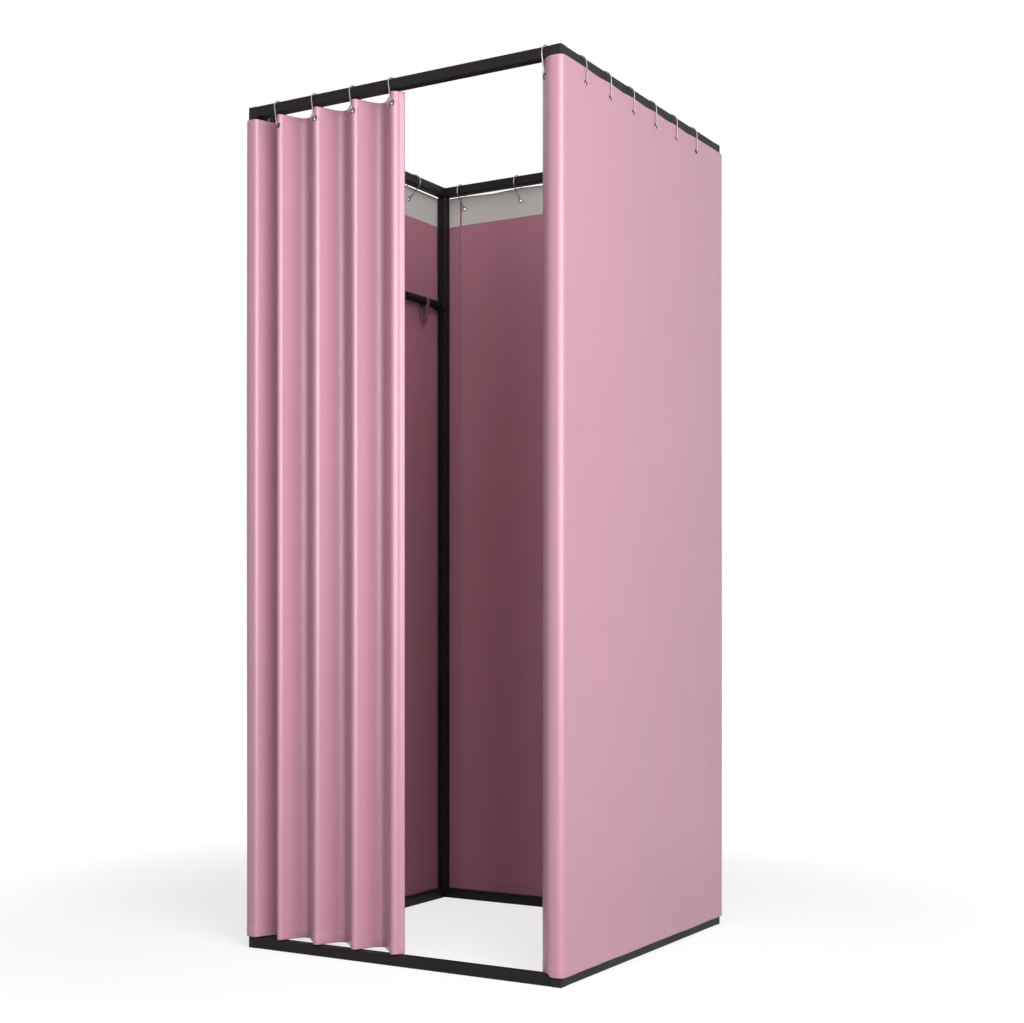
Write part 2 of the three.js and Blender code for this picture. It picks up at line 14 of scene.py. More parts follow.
import bpy
import numpy as np
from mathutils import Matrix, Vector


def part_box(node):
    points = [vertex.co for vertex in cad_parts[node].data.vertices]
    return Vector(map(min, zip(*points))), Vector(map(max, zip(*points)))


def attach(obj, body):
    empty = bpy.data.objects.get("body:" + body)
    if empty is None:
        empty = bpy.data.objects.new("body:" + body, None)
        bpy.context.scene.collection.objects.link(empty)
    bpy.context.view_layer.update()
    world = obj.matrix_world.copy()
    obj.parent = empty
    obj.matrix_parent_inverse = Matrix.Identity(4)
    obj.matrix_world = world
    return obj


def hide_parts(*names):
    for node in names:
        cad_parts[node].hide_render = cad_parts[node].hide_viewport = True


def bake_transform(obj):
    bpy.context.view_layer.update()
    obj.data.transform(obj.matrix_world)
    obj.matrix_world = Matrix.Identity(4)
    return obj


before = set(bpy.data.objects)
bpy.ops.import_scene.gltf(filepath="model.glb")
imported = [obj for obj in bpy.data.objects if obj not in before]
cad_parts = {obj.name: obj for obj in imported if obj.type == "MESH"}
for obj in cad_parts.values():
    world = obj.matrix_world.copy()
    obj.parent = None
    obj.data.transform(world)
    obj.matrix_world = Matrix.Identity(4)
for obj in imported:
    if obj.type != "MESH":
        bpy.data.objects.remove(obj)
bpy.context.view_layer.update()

LOG = logging.getLogger("fitting_room")
Control = tuple[float, float, float]
LEAST_END = 0.04


# Geometry helpers


def catmull_rom(controls: np.ndarray, steps: int) -> np.ndarray:
    """Centripetal Catmull-Rom curve through all the controls, worked out for all spans at once.

    The knots stand apart by the square root of the chord. Each span is the cubic Hermite blend of its two
    ends and of the slopes there, which weigh the chords on both sides by their knots.

    Args:
        controls: Points of the curve, one a row.
        steps: Points to work out on each span.

    Returns:
        The points of the curve, ending with the last control.
    """
    chords = np.linalg.norm(np.diff(controls[:, :2], axis=0), axis=1)
    knots = np.sqrt(np.maximum(chords, 1e-6))[:, None]
    slopes = np.diff(controls, axis=0) / knots
    inner = slopes[:-1] - (controls[2:] - controls[:-2]) / (knots[:-1] + knots[1:]) + slopes[1:]
    tangents = np.vstack([slopes[:1], inner, slopes[-1:]])
    share = np.linspace(0, 1, steps, endpoint=False)[None, :, None]
    start, end = controls[:-1, None], controls[1:, None]
    leave, arrive = tangents[:-1, None] * knots[:, None], tangents[1:, None] * knots[:, None]
    points = (
        start * (1 - 3 * share**2 + 2 * share**3)
        + leave * (share - 2 * share**2 + share**3)
        + end * (3 * share**2 - 2 * share**3)
        + arrive * (share**3 - share**2)
    )
    return np.vstack([points.reshape(-1, controls.shape[1]), controls[-1:]])


def arc_lengths(points: np.ndarray) -> np.ndarray:
    """Running length along a line of points, starting at zero.

    Args:
        points: Points of the line, one a row.

    Returns:
        The length up to each point.
    """
    steps = np.linalg.norm(np.diff(points, axis=0), axis=1)
    return np.concatenate([[0.0], np.cumsum(steps)])


def softened(points: np.ndarray, spacing: float, spread: float) -> np.ndarray:
    """Running mean of an evenly spaced line with bell-shaped weights, which rounds its sharpest bends.

    The ends are first carried on by their mirror image through the end point, so they stay in place.

    Args:
        points: Points of the line, one a row.
        spacing: Distance between two points.
        spread: Standard deviation of the bell, as a distance.

    Returns:
        As many points as came in.
    """
    reach = int(np.ceil(3 * spread / spacing))
    weights = np.exp(-0.5 * (np.arange(-reach, reach + 1) * spacing / spread) ** 2)
    weights /= weights.sum()
    before = 2 * points[0] - points[reach:0:-1]
    after = 2 * points[-1] - points[-2 : -reach - 2 : -1]
    padded = np.vstack([before, points, after])
    return np.column_stack([np.convolve(column, weights, mode="valid") for column in padded.T])


def bell(distance: np.ndarray, width: float) -> np.ndarray:
    """Bell curve that is 1 at no distance and falls off over the width."""
    return np.exp(-((distance / width) ** 2))


def grid_quads(rows: int, columns: int) -> np.ndarray:
    """Quads between the points of a grid that is stored row by row.

    Args:
        rows: Rows of points.
        columns: Points in each row.

    Returns:
        Four point numbers a quad, anticlockwise where rows go up and columns go right.
    """
    first = (np.arange(rows - 1)[:, None] * columns + np.arange(columns - 1)).ravel()
    return np.column_stack([first, first + 1, first + columns + 1, first + columns])


def ring_quads(rings: int, around: int) -> np.ndarray:
    """Quads of a tube whose points are stored ring by ring, each ring closing on itself.

    Args:
        rings: Rings of points.
        around: Points in each ring.

    Returns:
        Four point numbers a quad.
    """
    ring = np.arange(rings - 1)[:, None] * around
    near, beyond = np.arange(around), (np.arange(around) + 1) % around
    corners = [ring + near, ring + beyond, ring + around + beyond, ring + around + near]
    return np.stack(corners, axis=-1).reshape(-1, 4)


def new_piece(
    name: str,
    points: np.ndarray,
    faces: list[list[int]],
    uv: np.ndarray | None = None,
    smooth: bool = True,
) -> bpy.types.Object:
    """Makes a mesh object at the origin and reports it.

    Args:
        name: Name of the object and its mesh.
        points: Vertices, one a row.
        faces: Vertex numbers of each face.
        uv: Place of each vertex on the cloth, or nothing.
        smooth: Whether the faces are shaded smooth.

    Returns:
        The object, linked to the scene.
    """
    mesh = bpy.data.meshes.new(name)
    mesh.from_pydata(points.tolist(), [], faces)
    mesh.polygons.foreach_set("use_smooth", np.full(len(faces), smooth))
    if uv is not None:
        corners = np.empty(len(mesh.loops), np.int32)
        mesh.loops.foreach_get("vertex_index", corners)
        mesh.uv_layers.new(name="UVMap").data.foreach_set("uv", uv[corners].astype(np.float32).ravel())
    mesh.update()
    piece = bpy.data.objects.new(name, mesh)
    bpy.context.scene.collection.objects.link(piece)
    LOG.info("%s: %d faces", name, len(faces))
    return piece


def revolved(
    name: str,
    profile: np.ndarray,
    origin: np.ndarray,
    axis: np.ndarray,
    around: int,
) -> bpy.types.Object:
    """Turns a closed profile into a ring or tube about an axis.

    A point stands at the profile's distance times the outward direction, plus its place along the axis.

    Args:
        name: Name of the piece.
        profile: Distance from the axis and place along it, one point a row, anticlockwise.
        origin: Point of the axis where the place along it is zero.
        axis: Direction of the axis, of length one.
        around: Points round the axis.

    Returns:
        The piece.
    """
    helper = np.array([0.0, 0.0, 1.0]) if abs(axis[2]) < 0.9 else np.array([1.0, 0.0, 0.0])
    across = np.cross(axis, helper)
    across /= np.linalg.norm(across)
    upwards = np.cross(axis, across)
    angle = np.linspace(0, 2 * pi, around, endpoint=False)
    outward = np.cos(angle)[:, None] * across + np.sin(angle)[:, None] * upwards
    points = (
        origin
        + outward[:, None, :] * profile[None, :, :1]
        + axis[None, None, :] * profile[None, :, 1:]
    ).reshape(-1, 3)
    count = len(profile)
    quads = ring_quads(around + 1, count) % (around * count)
    return new_piece(name, points, quads.tolist())


def swept(
    name: str,
    path: np.ndarray,
    across: np.ndarray,
    section: np.ndarray,
    closed: bool,
    round_ends: bool = False,
) -> bpy.types.Object:
    """Carries a section along a path that lies in one plane.

    Rounded ends shrink the section as a quarter circle does over its own half height: by the root of one
    less the square of the distance that is still missing. They stop at a small flat, not at a point.

    Args:
        name: Name of the piece.
        path: Points of the path, one a row.
        across: Direction square to the plane of the path, of length one.
        section: Section, one point a row: out from the path in its plane, and across it.
        closed: Whether the path closes on itself.
        round_ends: Whether an open path's ends are rounded.

    Returns:
        The piece.
    """
    if closed:
        travel = np.roll(path, -1, axis=0) - np.roll(path, 1, axis=0)
    else:
        travel = np.gradient(path, axis=0)
    travel /= np.linalg.norm(travel, axis=1)[:, None]
    outward = np.cross(travel, across)
    size = np.ones(len(path))
    if round_ends:
        along = arc_lengths(path)
        depth = np.minimum(along, along[-1] - along) / np.abs(section).max()
        size = np.sqrt(np.clip(1 - (1 - np.minimum(depth, 1)) ** 2, LEAST_END, 1))
    points = (
        path[:, None, :]
        + outward[:, None, :] * section[None, :, :1] * size[:, None, None]
        + across[None, None, :] * section[None, :, 1:] * size[:, None, None]
    ).reshape(-1, 3)
    around = len(section)
    if closed:
        faces = (ring_quads(len(path) + 1, around) % (len(path) * around)).tolist()
    else:
        last = (len(path) - 1) * around
        faces = ring_quads(len(path), around).tolist()
        faces += [list(range(around))[::-1], list(range(last, last + around))]
    return new_piece(name, points, faces)


def pear(top_radius: float, foot_radius: float, drop: float, steps: int) -> tuple[np.ndarray, np.ndarray]:
    """The two arcs of a pear-shaped loop in its own plane, which straight legs can join without a kink.

    A leg leans from upright by the angle whose sine is the difference of the radii over the drop.

    Args:
        top_radius: Radius of the wide arc, about the origin.
        foot_radius: Radius of the narrow arc.
        drop: How far the narrow arc's middle is below the wide arc's.
        steps: Points on the wide arc; the narrow one has half as many.

    Returns:
        Points of the wide arc and then of the narrow one, clockwise, each across and up.
    """
    lean = asin((top_radius - foot_radius) / drop)
    top = np.linspace(pi + lean, -lean, steps)
    foot = np.linspace(-lean, lean - pi, steps // 2)
    high = top_radius * np.column_stack([np.cos(top), np.sin(top)])
    return high, foot_radius * np.column_stack([np.cos(foot), np.sin(foot)]) - [0, drop]


def recalculated(piece: bpy.types.Object) -> bpy.types.Object:
    """Turns the faces of a closed piece outwards by the sign of its volume, and returns the piece."""
    mesh = piece.data
    mesh.calc_loop_triangles()
    points = np.empty(len(mesh.vertices) * 3)
    mesh.vertices.foreach_get("co", points)
    corners = np.empty(len(mesh.loop_triangles) * 3, np.int32)
    mesh.loop_triangles.foreach_get("vertices", corners)
    a, b, c = points.reshape(-1, 3)[corners.reshape(-1, 3)].transpose(1, 0, 2)
    if np.einsum("ij,ij->i", a, np.cross(b, c)).sum() < 0:
        mesh.flip_normals()
    return piece


# Materials


def linear(colour: str) -> tuple[float, float, float, float]:
    """Turns a colour written as in a paint program into the light it stands for.

    Args:
        colour: Six hexadecimal digits after a hash sign.

    Returns:
        Red, green, blue and full opacity.
    """
    parts = [int(colour[at : at + 2], 16) / 255 for at in (1, 3, 5)]
    red, green, blue = (p / 12.92 if p <= 0.04045 else ((p + 0.055) / 1.055) ** 2.4 for p in parts)
    return red, green, blue, 1.0


class NodeTree:
    """One node tree, with short ways to add nodes, set their values and join them."""

    def __init__(self, tree: bpy.types.NodeTree) -> None:
        """Takes the tree to work on."""
        self.tree = tree

    def add(self, kind: str, values: dict | None = None, **settings: object) -> bpy.types.Node:
        """Adds a node.

        Args:
            kind: Blender's name of the node type, without its ShaderNode beginning.
            values: Plain values or sockets of other nodes, by the name or number of the input.
            settings: Attributes of the node.

        Returns:
            The node.
        """
        prefix = "" if kind.startswith("NodeGroup") else "ShaderNode"
        node = self.tree.nodes.new(prefix + kind)
        for name, value in settings.items():
            setattr(node, name, value)
        for name, value in (values or {}).items():
            if isinstance(value, bpy.types.NodeSocket):
                self.tree.links.new(value, node.inputs[name])
            else:
                node.inputs[name].default_value = value
        return node

    def maths(self, operation: str, *values: object) -> bpy.types.NodeSocket:
        """Adds a Math node.

        Args:
            operation: Blender's name of the operation.
            values: Its inputs in order, plain or sockets.

        Returns:
            Its result.
        """
        return self.add("Math", dict(enumerate(values)), operation=operation).outputs[0]

    def mixed(self, share: object, low: object, high: object) -> bpy.types.NodeSocket:
        """Adds a colour mix.

        Args:
            share: How much of the second colour shows.
            low: First colour.
            high: Second colour.

        Returns:
            The mixed colour.
        """
        node = self.add("Mix", {0: share, 6: low, 7: high}, data_type="RGBA")
        return node.outputs[2]


class Effect:
    """A shader node group that several finishes share, built once when it is first used."""

    title = "effect"
    inputs: dict[str, tuple[str, object]] = {}
    outputs: dict[str, str] = {}

    @classmethod
    def group(cls) -> bpy.types.NodeTree:
        """Finds the group, or builds it.

        Returns:
            The group's tree.
        """
        found = bpy.data.node_groups.get(cls.title)
        if found:
            return found
        tree = bpy.data.node_groups.new(cls.title, "ShaderNodeTree")
        for name, (kind, value) in cls.inputs.items():
            socket = tree.interface.new_socket(name, in_out="INPUT", socket_type=kind)
            socket.default_value = value
        for name, kind in cls.outputs.items():
            tree.interface.new_socket(name, in_out="OUTPUT", socket_type=kind)
        nodes = NodeTree(tree)
        given = nodes.add("NodeGroupInput").outputs
        nodes.add("NodeGroupOutput", cls.build(nodes, given))
        return tree

    @classmethod
    def build(cls, nodes: NodeTree, given: bpy.types.NodeOutputs) -> dict[str, bpy.types.NodeSocket]:
        """Builds the inside of the group; each effect has its own."""
        raise NotImplementedError

    @classmethod
    def use(cls, nodes: NodeTree, values: dict[str, object]) -> bpy.types.NodeOutputs:
        """Places the group in a material.

        Args:
            nodes: The material's tree.
            values: Inputs by name, plain or sockets.

        Returns:
            The outputs of the placed group.
        """
        return nodes.add("Group", values, node_tree=cls.group()).outputs


class Weave(Effect):
    """Plain weave in the piece's UV: threads over and under each other, with uneven yarn."""

    title = "plain weave"
    inputs = {
        "Place": ("NodeSocketVector", (0.0, 0.0, 0.0)),
        "Threads per metre": ("NodeSocketFloat", 1600.0),
        "Slub": ("NodeSocketFloat", 0.25),
    }
    outputs = {"Height": "NodeSocketFloat", "Gap shade": "NodeSocketFloat"}
    slub_scale = (900.0, 40.0, 1.0)

    @classmethod
    def build(cls, nodes: NodeTree, given: bpy.types.NodeOutputs) -> dict[str, bpy.types.NodeSocket]:
        """The thread on top is the one along U where the cell numbers add up to an even number.

        A thread's ridge is half a sine wave across it, and the uneven yarn is noise drawn out along V.

        Args:
            nodes: The group's tree.
            given: The group's inputs.

        Returns:
            Height of the yarn from 0 to 1, and a mask of the gaps between the yarns.
        """
        parts = nodes.add("SeparateXYZ", {0: given["Place"]}).outputs
        along, up = (nodes.maths("MULTIPLY", parts[at], given["Threads per metre"]) for at in (0, 1))
        cells = nodes.maths("ADD", nodes.maths("FLOOR", along), nodes.maths("FLOOR", up))
        odd = nodes.maths("MODULO", nodes.maths("ABSOLUTE", cells), 2.0)
        ridges = [
            nodes.maths("SINE", nodes.maths("MULTIPLY", nodes.maths("FRACT", coordinate), pi))
            for coordinate in (along, up)
        ]
        even = nodes.maths("SUBTRACT", 1.0, odd)
        yarn = nodes.maths(
            "ADD", nodes.maths("MULTIPLY", ridges[0], odd), nodes.maths("MULTIPLY", ridges[1], even)
        )
        stretch = nodes.add("Mapping", {"Vector": given["Place"], "Scale": cls.slub_scale})
        uneven = nodes.add("TexNoise", {"Vector": stretch.outputs[0], "Scale": 1.0, "Detail": 2.0}).outputs[0]
        height = nodes.maths("ADD", yarn, nodes.maths("MULTIPLY", uneven, given["Slub"]))
        gap = nodes.maths("SUBTRACT", 1.0, nodes.maths("MULTIPLY", ridges[0], ridges[1]))
        return {"Height": height, "Gap shade": gap}


class Mottle(Effect):
    """Broad, soft change of tone between two colours."""

    title = "soft mottle"
    inputs = {
        "Place": ("NodeSocketVector", (0.0, 0.0, 0.0)),
        "Scale": ("NodeSocketFloat", 3.0),
        "Low colour": ("NodeSocketColor", (0.5, 0.5, 0.5, 1.0)),
        "High colour": ("NodeSocketColor", (0.6, 0.6, 0.6, 1.0)),
    }
    outputs = {"Colour": "NodeSocketColor"}
    finer_by = 7.0
    finer_share = 0.35
    low_at, high_at = 0.45, 0.9

    @classmethod
    def build(cls, nodes: NodeTree, given: bpy.types.NodeOutputs) -> dict[str, bpy.types.NodeSocket]:
        """Two noises of different scale, spread to the full range, choose between the colours.

        Args:
            nodes: The group's tree.
            given: The group's inputs.

        Returns:
            The colour.
        """
        finer = nodes.maths("MULTIPLY", given["Scale"], cls.finer_by)
        broad = nodes.add("TexNoise", {"Vector": given["Place"], "Scale": given["Scale"], "Detail": 2.0})
        small = nodes.add("TexNoise", {"Vector": given["Place"], "Scale": finer, "Detail": 3.0})
        faint = nodes.maths("MULTIPLY", small.outputs[0], cls.finer_share)
        both = nodes.maths("ADD", broad.outputs[0], faint)
        spread = {"Value": both, "From Min": cls.low_at, "From Max": cls.high_at}
        share = nodes.add("MapRange", spread).outputs[0]
        return {"Colour": nodes.mixed(share, given["Low colour"], given["High colour"])}


class Grain(Effect):
    """Fine grain of a coated or moulded surface, as a height and as an uneven gloss."""

    title = "fine grain"
    inputs = {
        "Place": ("NodeSocketVector", (0.0, 0.0, 0.0)),
        "Scale": ("NodeSocketFloat", 900.0),
        "Low gloss": ("NodeSocketFloat", 0.5),
        "High gloss": ("NodeSocketFloat", 0.4),
    }
    outputs = {"Height": "NodeSocketFloat", "Roughness": "NodeSocketFloat"}
    broad_scale = 14.0
    low_at, high_at = 0.35, 0.65

    @classmethod
    def build(cls, nodes: NodeTree, given: bpy.types.NodeOutputs) -> dict[str, bpy.types.NodeSocket]:
        """Fine noise is the height; broad noise moves the roughness between its two values.

        Args:
            nodes: The group's tree.
            given: The group's inputs.

        Returns:
            Height from 0 to 1, and roughness.
        """
        fine = nodes.add("TexNoise", {"Vector": given["Place"], "Scale": given["Scale"], "Detail": 3.0})
        broad = nodes.add("TexNoise", {"Vector": given["Place"], "Scale": cls.broad_scale, "Detail": 4.0})
        roughness = nodes.add(
            "MapRange",
            {
                "Value": broad.outputs[0],
                "From Min": cls.low_at,
                "From Max": cls.high_at,
                "To Min": given["High gloss"],
                "To Max": given["Low gloss"],
            },
        )
        return {"Height": fine.outputs[0], "Roughness": roughness.outputs[0]}


@dataclass(frozen=True)
class Finish:
    """A finish, with the values that every kind has."""

    title: str
    low_colour: str
    high_colour: str
    low_gloss: float
    high_gloss: float
    specular: float = 0.5
    bump: float = 0.1
    bump_height: float = 0.0001
    grain_scale: float = 900.0
    tone_scale: float = 9.0

    def material(self) -> bpy.types.Material:
        """Finds the material, or builds it.

        Returns:
            The material.
        """
        found = bpy.data.materials.get(self.title)
        if found:
            return found
        made = bpy.data.materials.new(self.title)
        made.use_nodes = True
        made.node_tree.nodes.clear()
        nodes = NodeTree(made.node_tree)
        shader = nodes.add("BsdfPrincipled", {"Specular IOR Level": self.specular, **self.looks(nodes)})
        nodes.add("OutputMaterial", {0: shader.outputs[0]})
        return made

    def looks(self, nodes: NodeTree) -> dict[str, object]:
        """Values and sockets for the shader's inputs; each kind of finish has its own."""
        raise NotImplementedError

    def tone(self, nodes: NodeTree, place: bpy.types.NodeSocket) -> bpy.types.NodeSocket:
        """Mottled colour.

        Args:
            nodes: The material's tree.
            place: Coordinates of the mottle.

        Returns:
            The colour between the finish's two.
        """
        values = {
            "Place": place,
            "Scale": self.tone_scale,
            "Low colour": linear(self.low_colour),
            "High colour": linear(self.high_colour),
        }
        return Mottle.use(nodes, values)["Colour"]

    def grain(self, nodes: NodeTree, place: bpy.types.NodeSocket) -> bpy.types.NodeOutputs:
        """Fine grain.

        Args:
            nodes: The material's tree.
            place: Coordinates of the grain.

        Returns:
            Its height, and a roughness between the finish's two.
        """
        values = {
            "Place": place,
            "Scale": self.grain_scale,
            "Low gloss": self.low_gloss,
            "High gloss": self.high_gloss,
        }
        return Grain.use(nodes, values)

    def relief(self, nodes: NodeTree, height: bpy.types.NodeSocket) -> bpy.types.NodeSocket:
        """Turns a height into a bump.

        Args:
            nodes: The material's tree.
            height: The height, from 0 to about 1.

        Returns:
            The normal.
        """
        values = {"Strength": self.bump, "Distance": self.bump_height, "Height": height}
        return nodes.add("Bump", values).outputs[0]


@dataclass(frozen=True)
class ClothFinish(Finish):
    """Woven cloth whose threads follow the piece's UV."""

    tone_scale: float = 0.9
    sheen: float = 0.3
    sheen_roughness: float = 0.4
    threads: float = 1600.0
    # Colour and share of the painted shade that darkens the gaps between the yarns.
    gap_shade_colour: str = "#8f5a6b"
    gap_shade_share: float = 0.12

    def looks(self, nodes: NodeTree) -> dict[str, object]:
        """Tone by mottle, painted shade in the gaps of the weave, gloss by grain and relief by the yarn.

        Args:
            nodes: The material's tree.

        Returns:
            What the shader is given.
        """
        places = nodes.add("TexCoord").outputs
        weave = Weave.use(nodes, {"Place": places["UV"], "Threads per metre": self.threads})
        # Painted shade: the gaps between the yarns darken towards the gap colour.
        gap_shade = nodes.maths("MULTIPLY", weave["Gap shade"], self.gap_shade_share)
        return {
            "Sheen Weight": self.sheen,
            "Sheen Roughness": self.sheen_roughness,
            "Base Color": nodes.mixed(gap_shade, self.tone(nodes, places["UV"]), linear(self.gap_shade_colour)),
            "Roughness": self.grain(nodes, places["Object"])["Roughness"],
            "Normal": self.relief(nodes, weave["Height"]),
        }


@dataclass(frozen=True)
class CoatFinish(Finish):
    """Paint, plastic, thread or bare metal with a fine grain in the frame's own coordinates."""

    metallic: float = 0.0

    def looks(self, nodes: NodeTree) -> dict[str, object]:
        """Tone by mottle, gloss by grain and relief by the kind's own height.

        Args:
            nodes: The material's tree.

        Returns:
            What the shader is given.
        """
        place = nodes.add("TexCoord").outputs["Object"]
        grain = self.grain(nodes, place)
        return {
            "Metallic": self.metallic,
            "Base Color": self.tone(nodes, place),
            "Roughness": grain["Roughness"],
            "Normal": self.relief(nodes, self.height(nodes, place, grain)),
        }

    def height(
        self,
        nodes: NodeTree,
        place: bpy.types.NodeSocket,
        grain: bpy.types.NodeOutputs,
    ) -> bpy.types.NodeSocket:
        """Height of the relief, here the grain's."""
        return grain["Height"]


@dataclass(frozen=True)
class BrushedFinish(CoatFinish):
    """Metal with fine lines drawn along one axis."""

    line_scale: tuple[float, float, float] = (2500.0, 40.0, 2500.0)

    def height(
        self,
        nodes: NodeTree,
        place: bpy.types.NodeSocket,
        grain: bpy.types.NodeOutputs,
    ) -> bpy.types.NodeSocket:
        """Height of the relief: noise stretched along the brushing.

        Args:
            nodes: The material's tree.
            place: Coordinates of the lines.
            grain: The grain, which isn't used.

        Returns:
            The height.
        """
        drawn = nodes.add("Mapping", {"Vector": place, "Scale": self.line_scale})
        return nodes.add("TexNoise", {"Vector": drawn.outputs[0], "Scale": 1.0, "Detail": 2.0}).outputs[0]


CLOTH = ClothFinish(
    title="rose satin cloth",
    low_colour="#b88598",
    high_colour="#be8b9d",
    low_gloss=0.34,
    high_gloss=0.29,
    specular=0.6,
    sheen=0.1,
    bump=0.12,
    bump_height=0.0001,
)
# Inner face: a lining a little darker than the outer cloth, which also paints part of the shade inside the
# room.
SHADED_LINING = ClothFinish(
    title="rose lining with painted shade",
    low_colour="#b3798b",
    high_colour="#bb8192",
    low_gloss=0.7,
    high_gloss=0.62,
    specular=0.2,
    sheen=0.1,
    bump=0.15,
    bump_height=0.00012,
    gap_shade_colour="#6f4251",
)
FACING = ClothFinish(
    title="grey header tape",
    low_colour="#ccc8c5",
    high_colour="#d5d1ce",
    low_gloss=0.75,
    high_gloss=0.65,
    specular=0.25,
    sheen=0.05,
    threads=900.0,
    bump=0.2,
    bump_height=0.0002,
    gap_shade_colour="#a9a7a8",
)
THREAD = CoatFinish(
    title="pale rose thread",
    low_colour="#c98ea3",
    high_colour="#d5a0b2",
    low_gloss=0.6,
    high_gloss=0.5,
    specular=0.3,
    grain_scale=3000.0,
)
STEEL = CoatFinish(
    title="black powder coat",
    low_colour="#1b1a19",
    high_colour="#22201f",
    low_gloss=0.5,
    high_gloss=0.4,
    specular=0.12,
    bump=0.18,
    bump_height=0.00012,
    grain_scale=1400.0,
)
PLASTIC = CoatFinish(
    title="black moulded plastic",
    low_colour="#1c1b1b",
    high_colour="#242222",
    low_gloss=0.58,
    high_gloss=0.46,
    specular=0.15,
    bump=0.25,
    bump_height=0.00015,
    grain_scale=2200.0,
)
WIRE = CoatFinish(
    title="bright zinc wire",
    low_colour="#8b898a",
    high_colour="#9b999a",
    low_gloss=0.34,
    high_gloss=0.24,
    metallic=0.85,
    bump=0.08,
    grain_scale=1800.0,
    tone_scale=60.0,
)
EYELET = CoatFinish(
    title="dark nickel eyelet",
    low_colour="#3c3437",
    high_colour="#4a4144",
    low_gloss=0.4,
    high_gloss=0.3,
    metallic=0.6,
    bump=0.08,
    grain_scale=1800.0,
    tone_scale=60.0,
)
STRAP = BrushedFinish(
    title="brushed strap steel",
    low_colour="#8f8c8a",
    high_colour="#a5a2a0",
    low_gloss=0.42,
    high_gloss=0.32,
    metallic=0.9,
    bump=0.2,
    bump_height=0.0001,
    tone_scale=40.0,
)


def dressed(piece: bpy.types.Object, *finishes: Finish) -> bpy.types.Object:
    """Gives a piece its finishes, one to each material slot, and returns it."""
    piece.data.materials.clear()
    for finish in finishes:
        piece.data.materials.append(finish.material())
    return piece


# The room and its sides


class Side(Enum):
    """A side of the room."""

    FRONT = "front"
    RIGHT = "right"
    BACK = "back"
    LEFT = "left"


@dataclass(frozen=True)
class Rails:
    """The middles of the top rails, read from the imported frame."""

    middle_x: float
    middle_y: float
    height: float
    tube: float
    corner_radius: float = 0.004
    edge_radius: float = 0.003

    @classmethod
    def read(cls) -> "Rails":
        """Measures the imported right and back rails.

        Returns:
            The rails.
        """
        low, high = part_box("top_rail_right")
        back_low, back_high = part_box("top_rail_back")
        middle_x, middle_y = (low.x + high.x) / 2, (back_low.y + back_high.y) / 2
        return cls(middle_x, middle_y, (low.z + high.z) / 2, high.x - low.x)

    def beside(self, side: Side, along: float, reach: float) -> tuple[float, float]:
        """Plan point beside a rail.

        Args:
            side: The rail's side of the room.
            along: Place along the rail, as its X or Y.
            reach: Distance out of the room from the middle of the rail.

        Returns:
            X and Y.
        """
        return {
            Side.FRONT: (along, -self.middle_y - reach),
            Side.RIGHT: (self.middle_x + reach, along),
            Side.BACK: (along, self.middle_y + reach),
            Side.LEFT: (-self.middle_x - reach, along),
        }[side]

    def outward(self, side: Side) -> np.ndarray:
        """Level direction out of the room on one side."""
        return np.array([*self.beside(side, 0, 1), 0]) - np.array([*self.beside(side, 0, 0), 0])

    def clearance(self, points: np.ndarray) -> np.ndarray:
        """Level distance out from the frame's outline, which is a square with rounded corners.

        Beyond a rounded corner it is the distance to the corner's centre less its radius; beside a straight
        stretch it is the distance to that side, and it is negative over the rails.

        Args:
            points: Plan points, one a row.

        Returns:
            Distances.
        """
        half = np.array([self.middle_x, self.middle_y]) + self.tube / 2 - self.corner_radius
        beyond = np.abs(points) - half
        outside = np.linalg.norm(np.maximum(beyond, 0), axis=1)
        return outside + np.minimum(beyond.max(axis=1), 0) - self.corner_radius


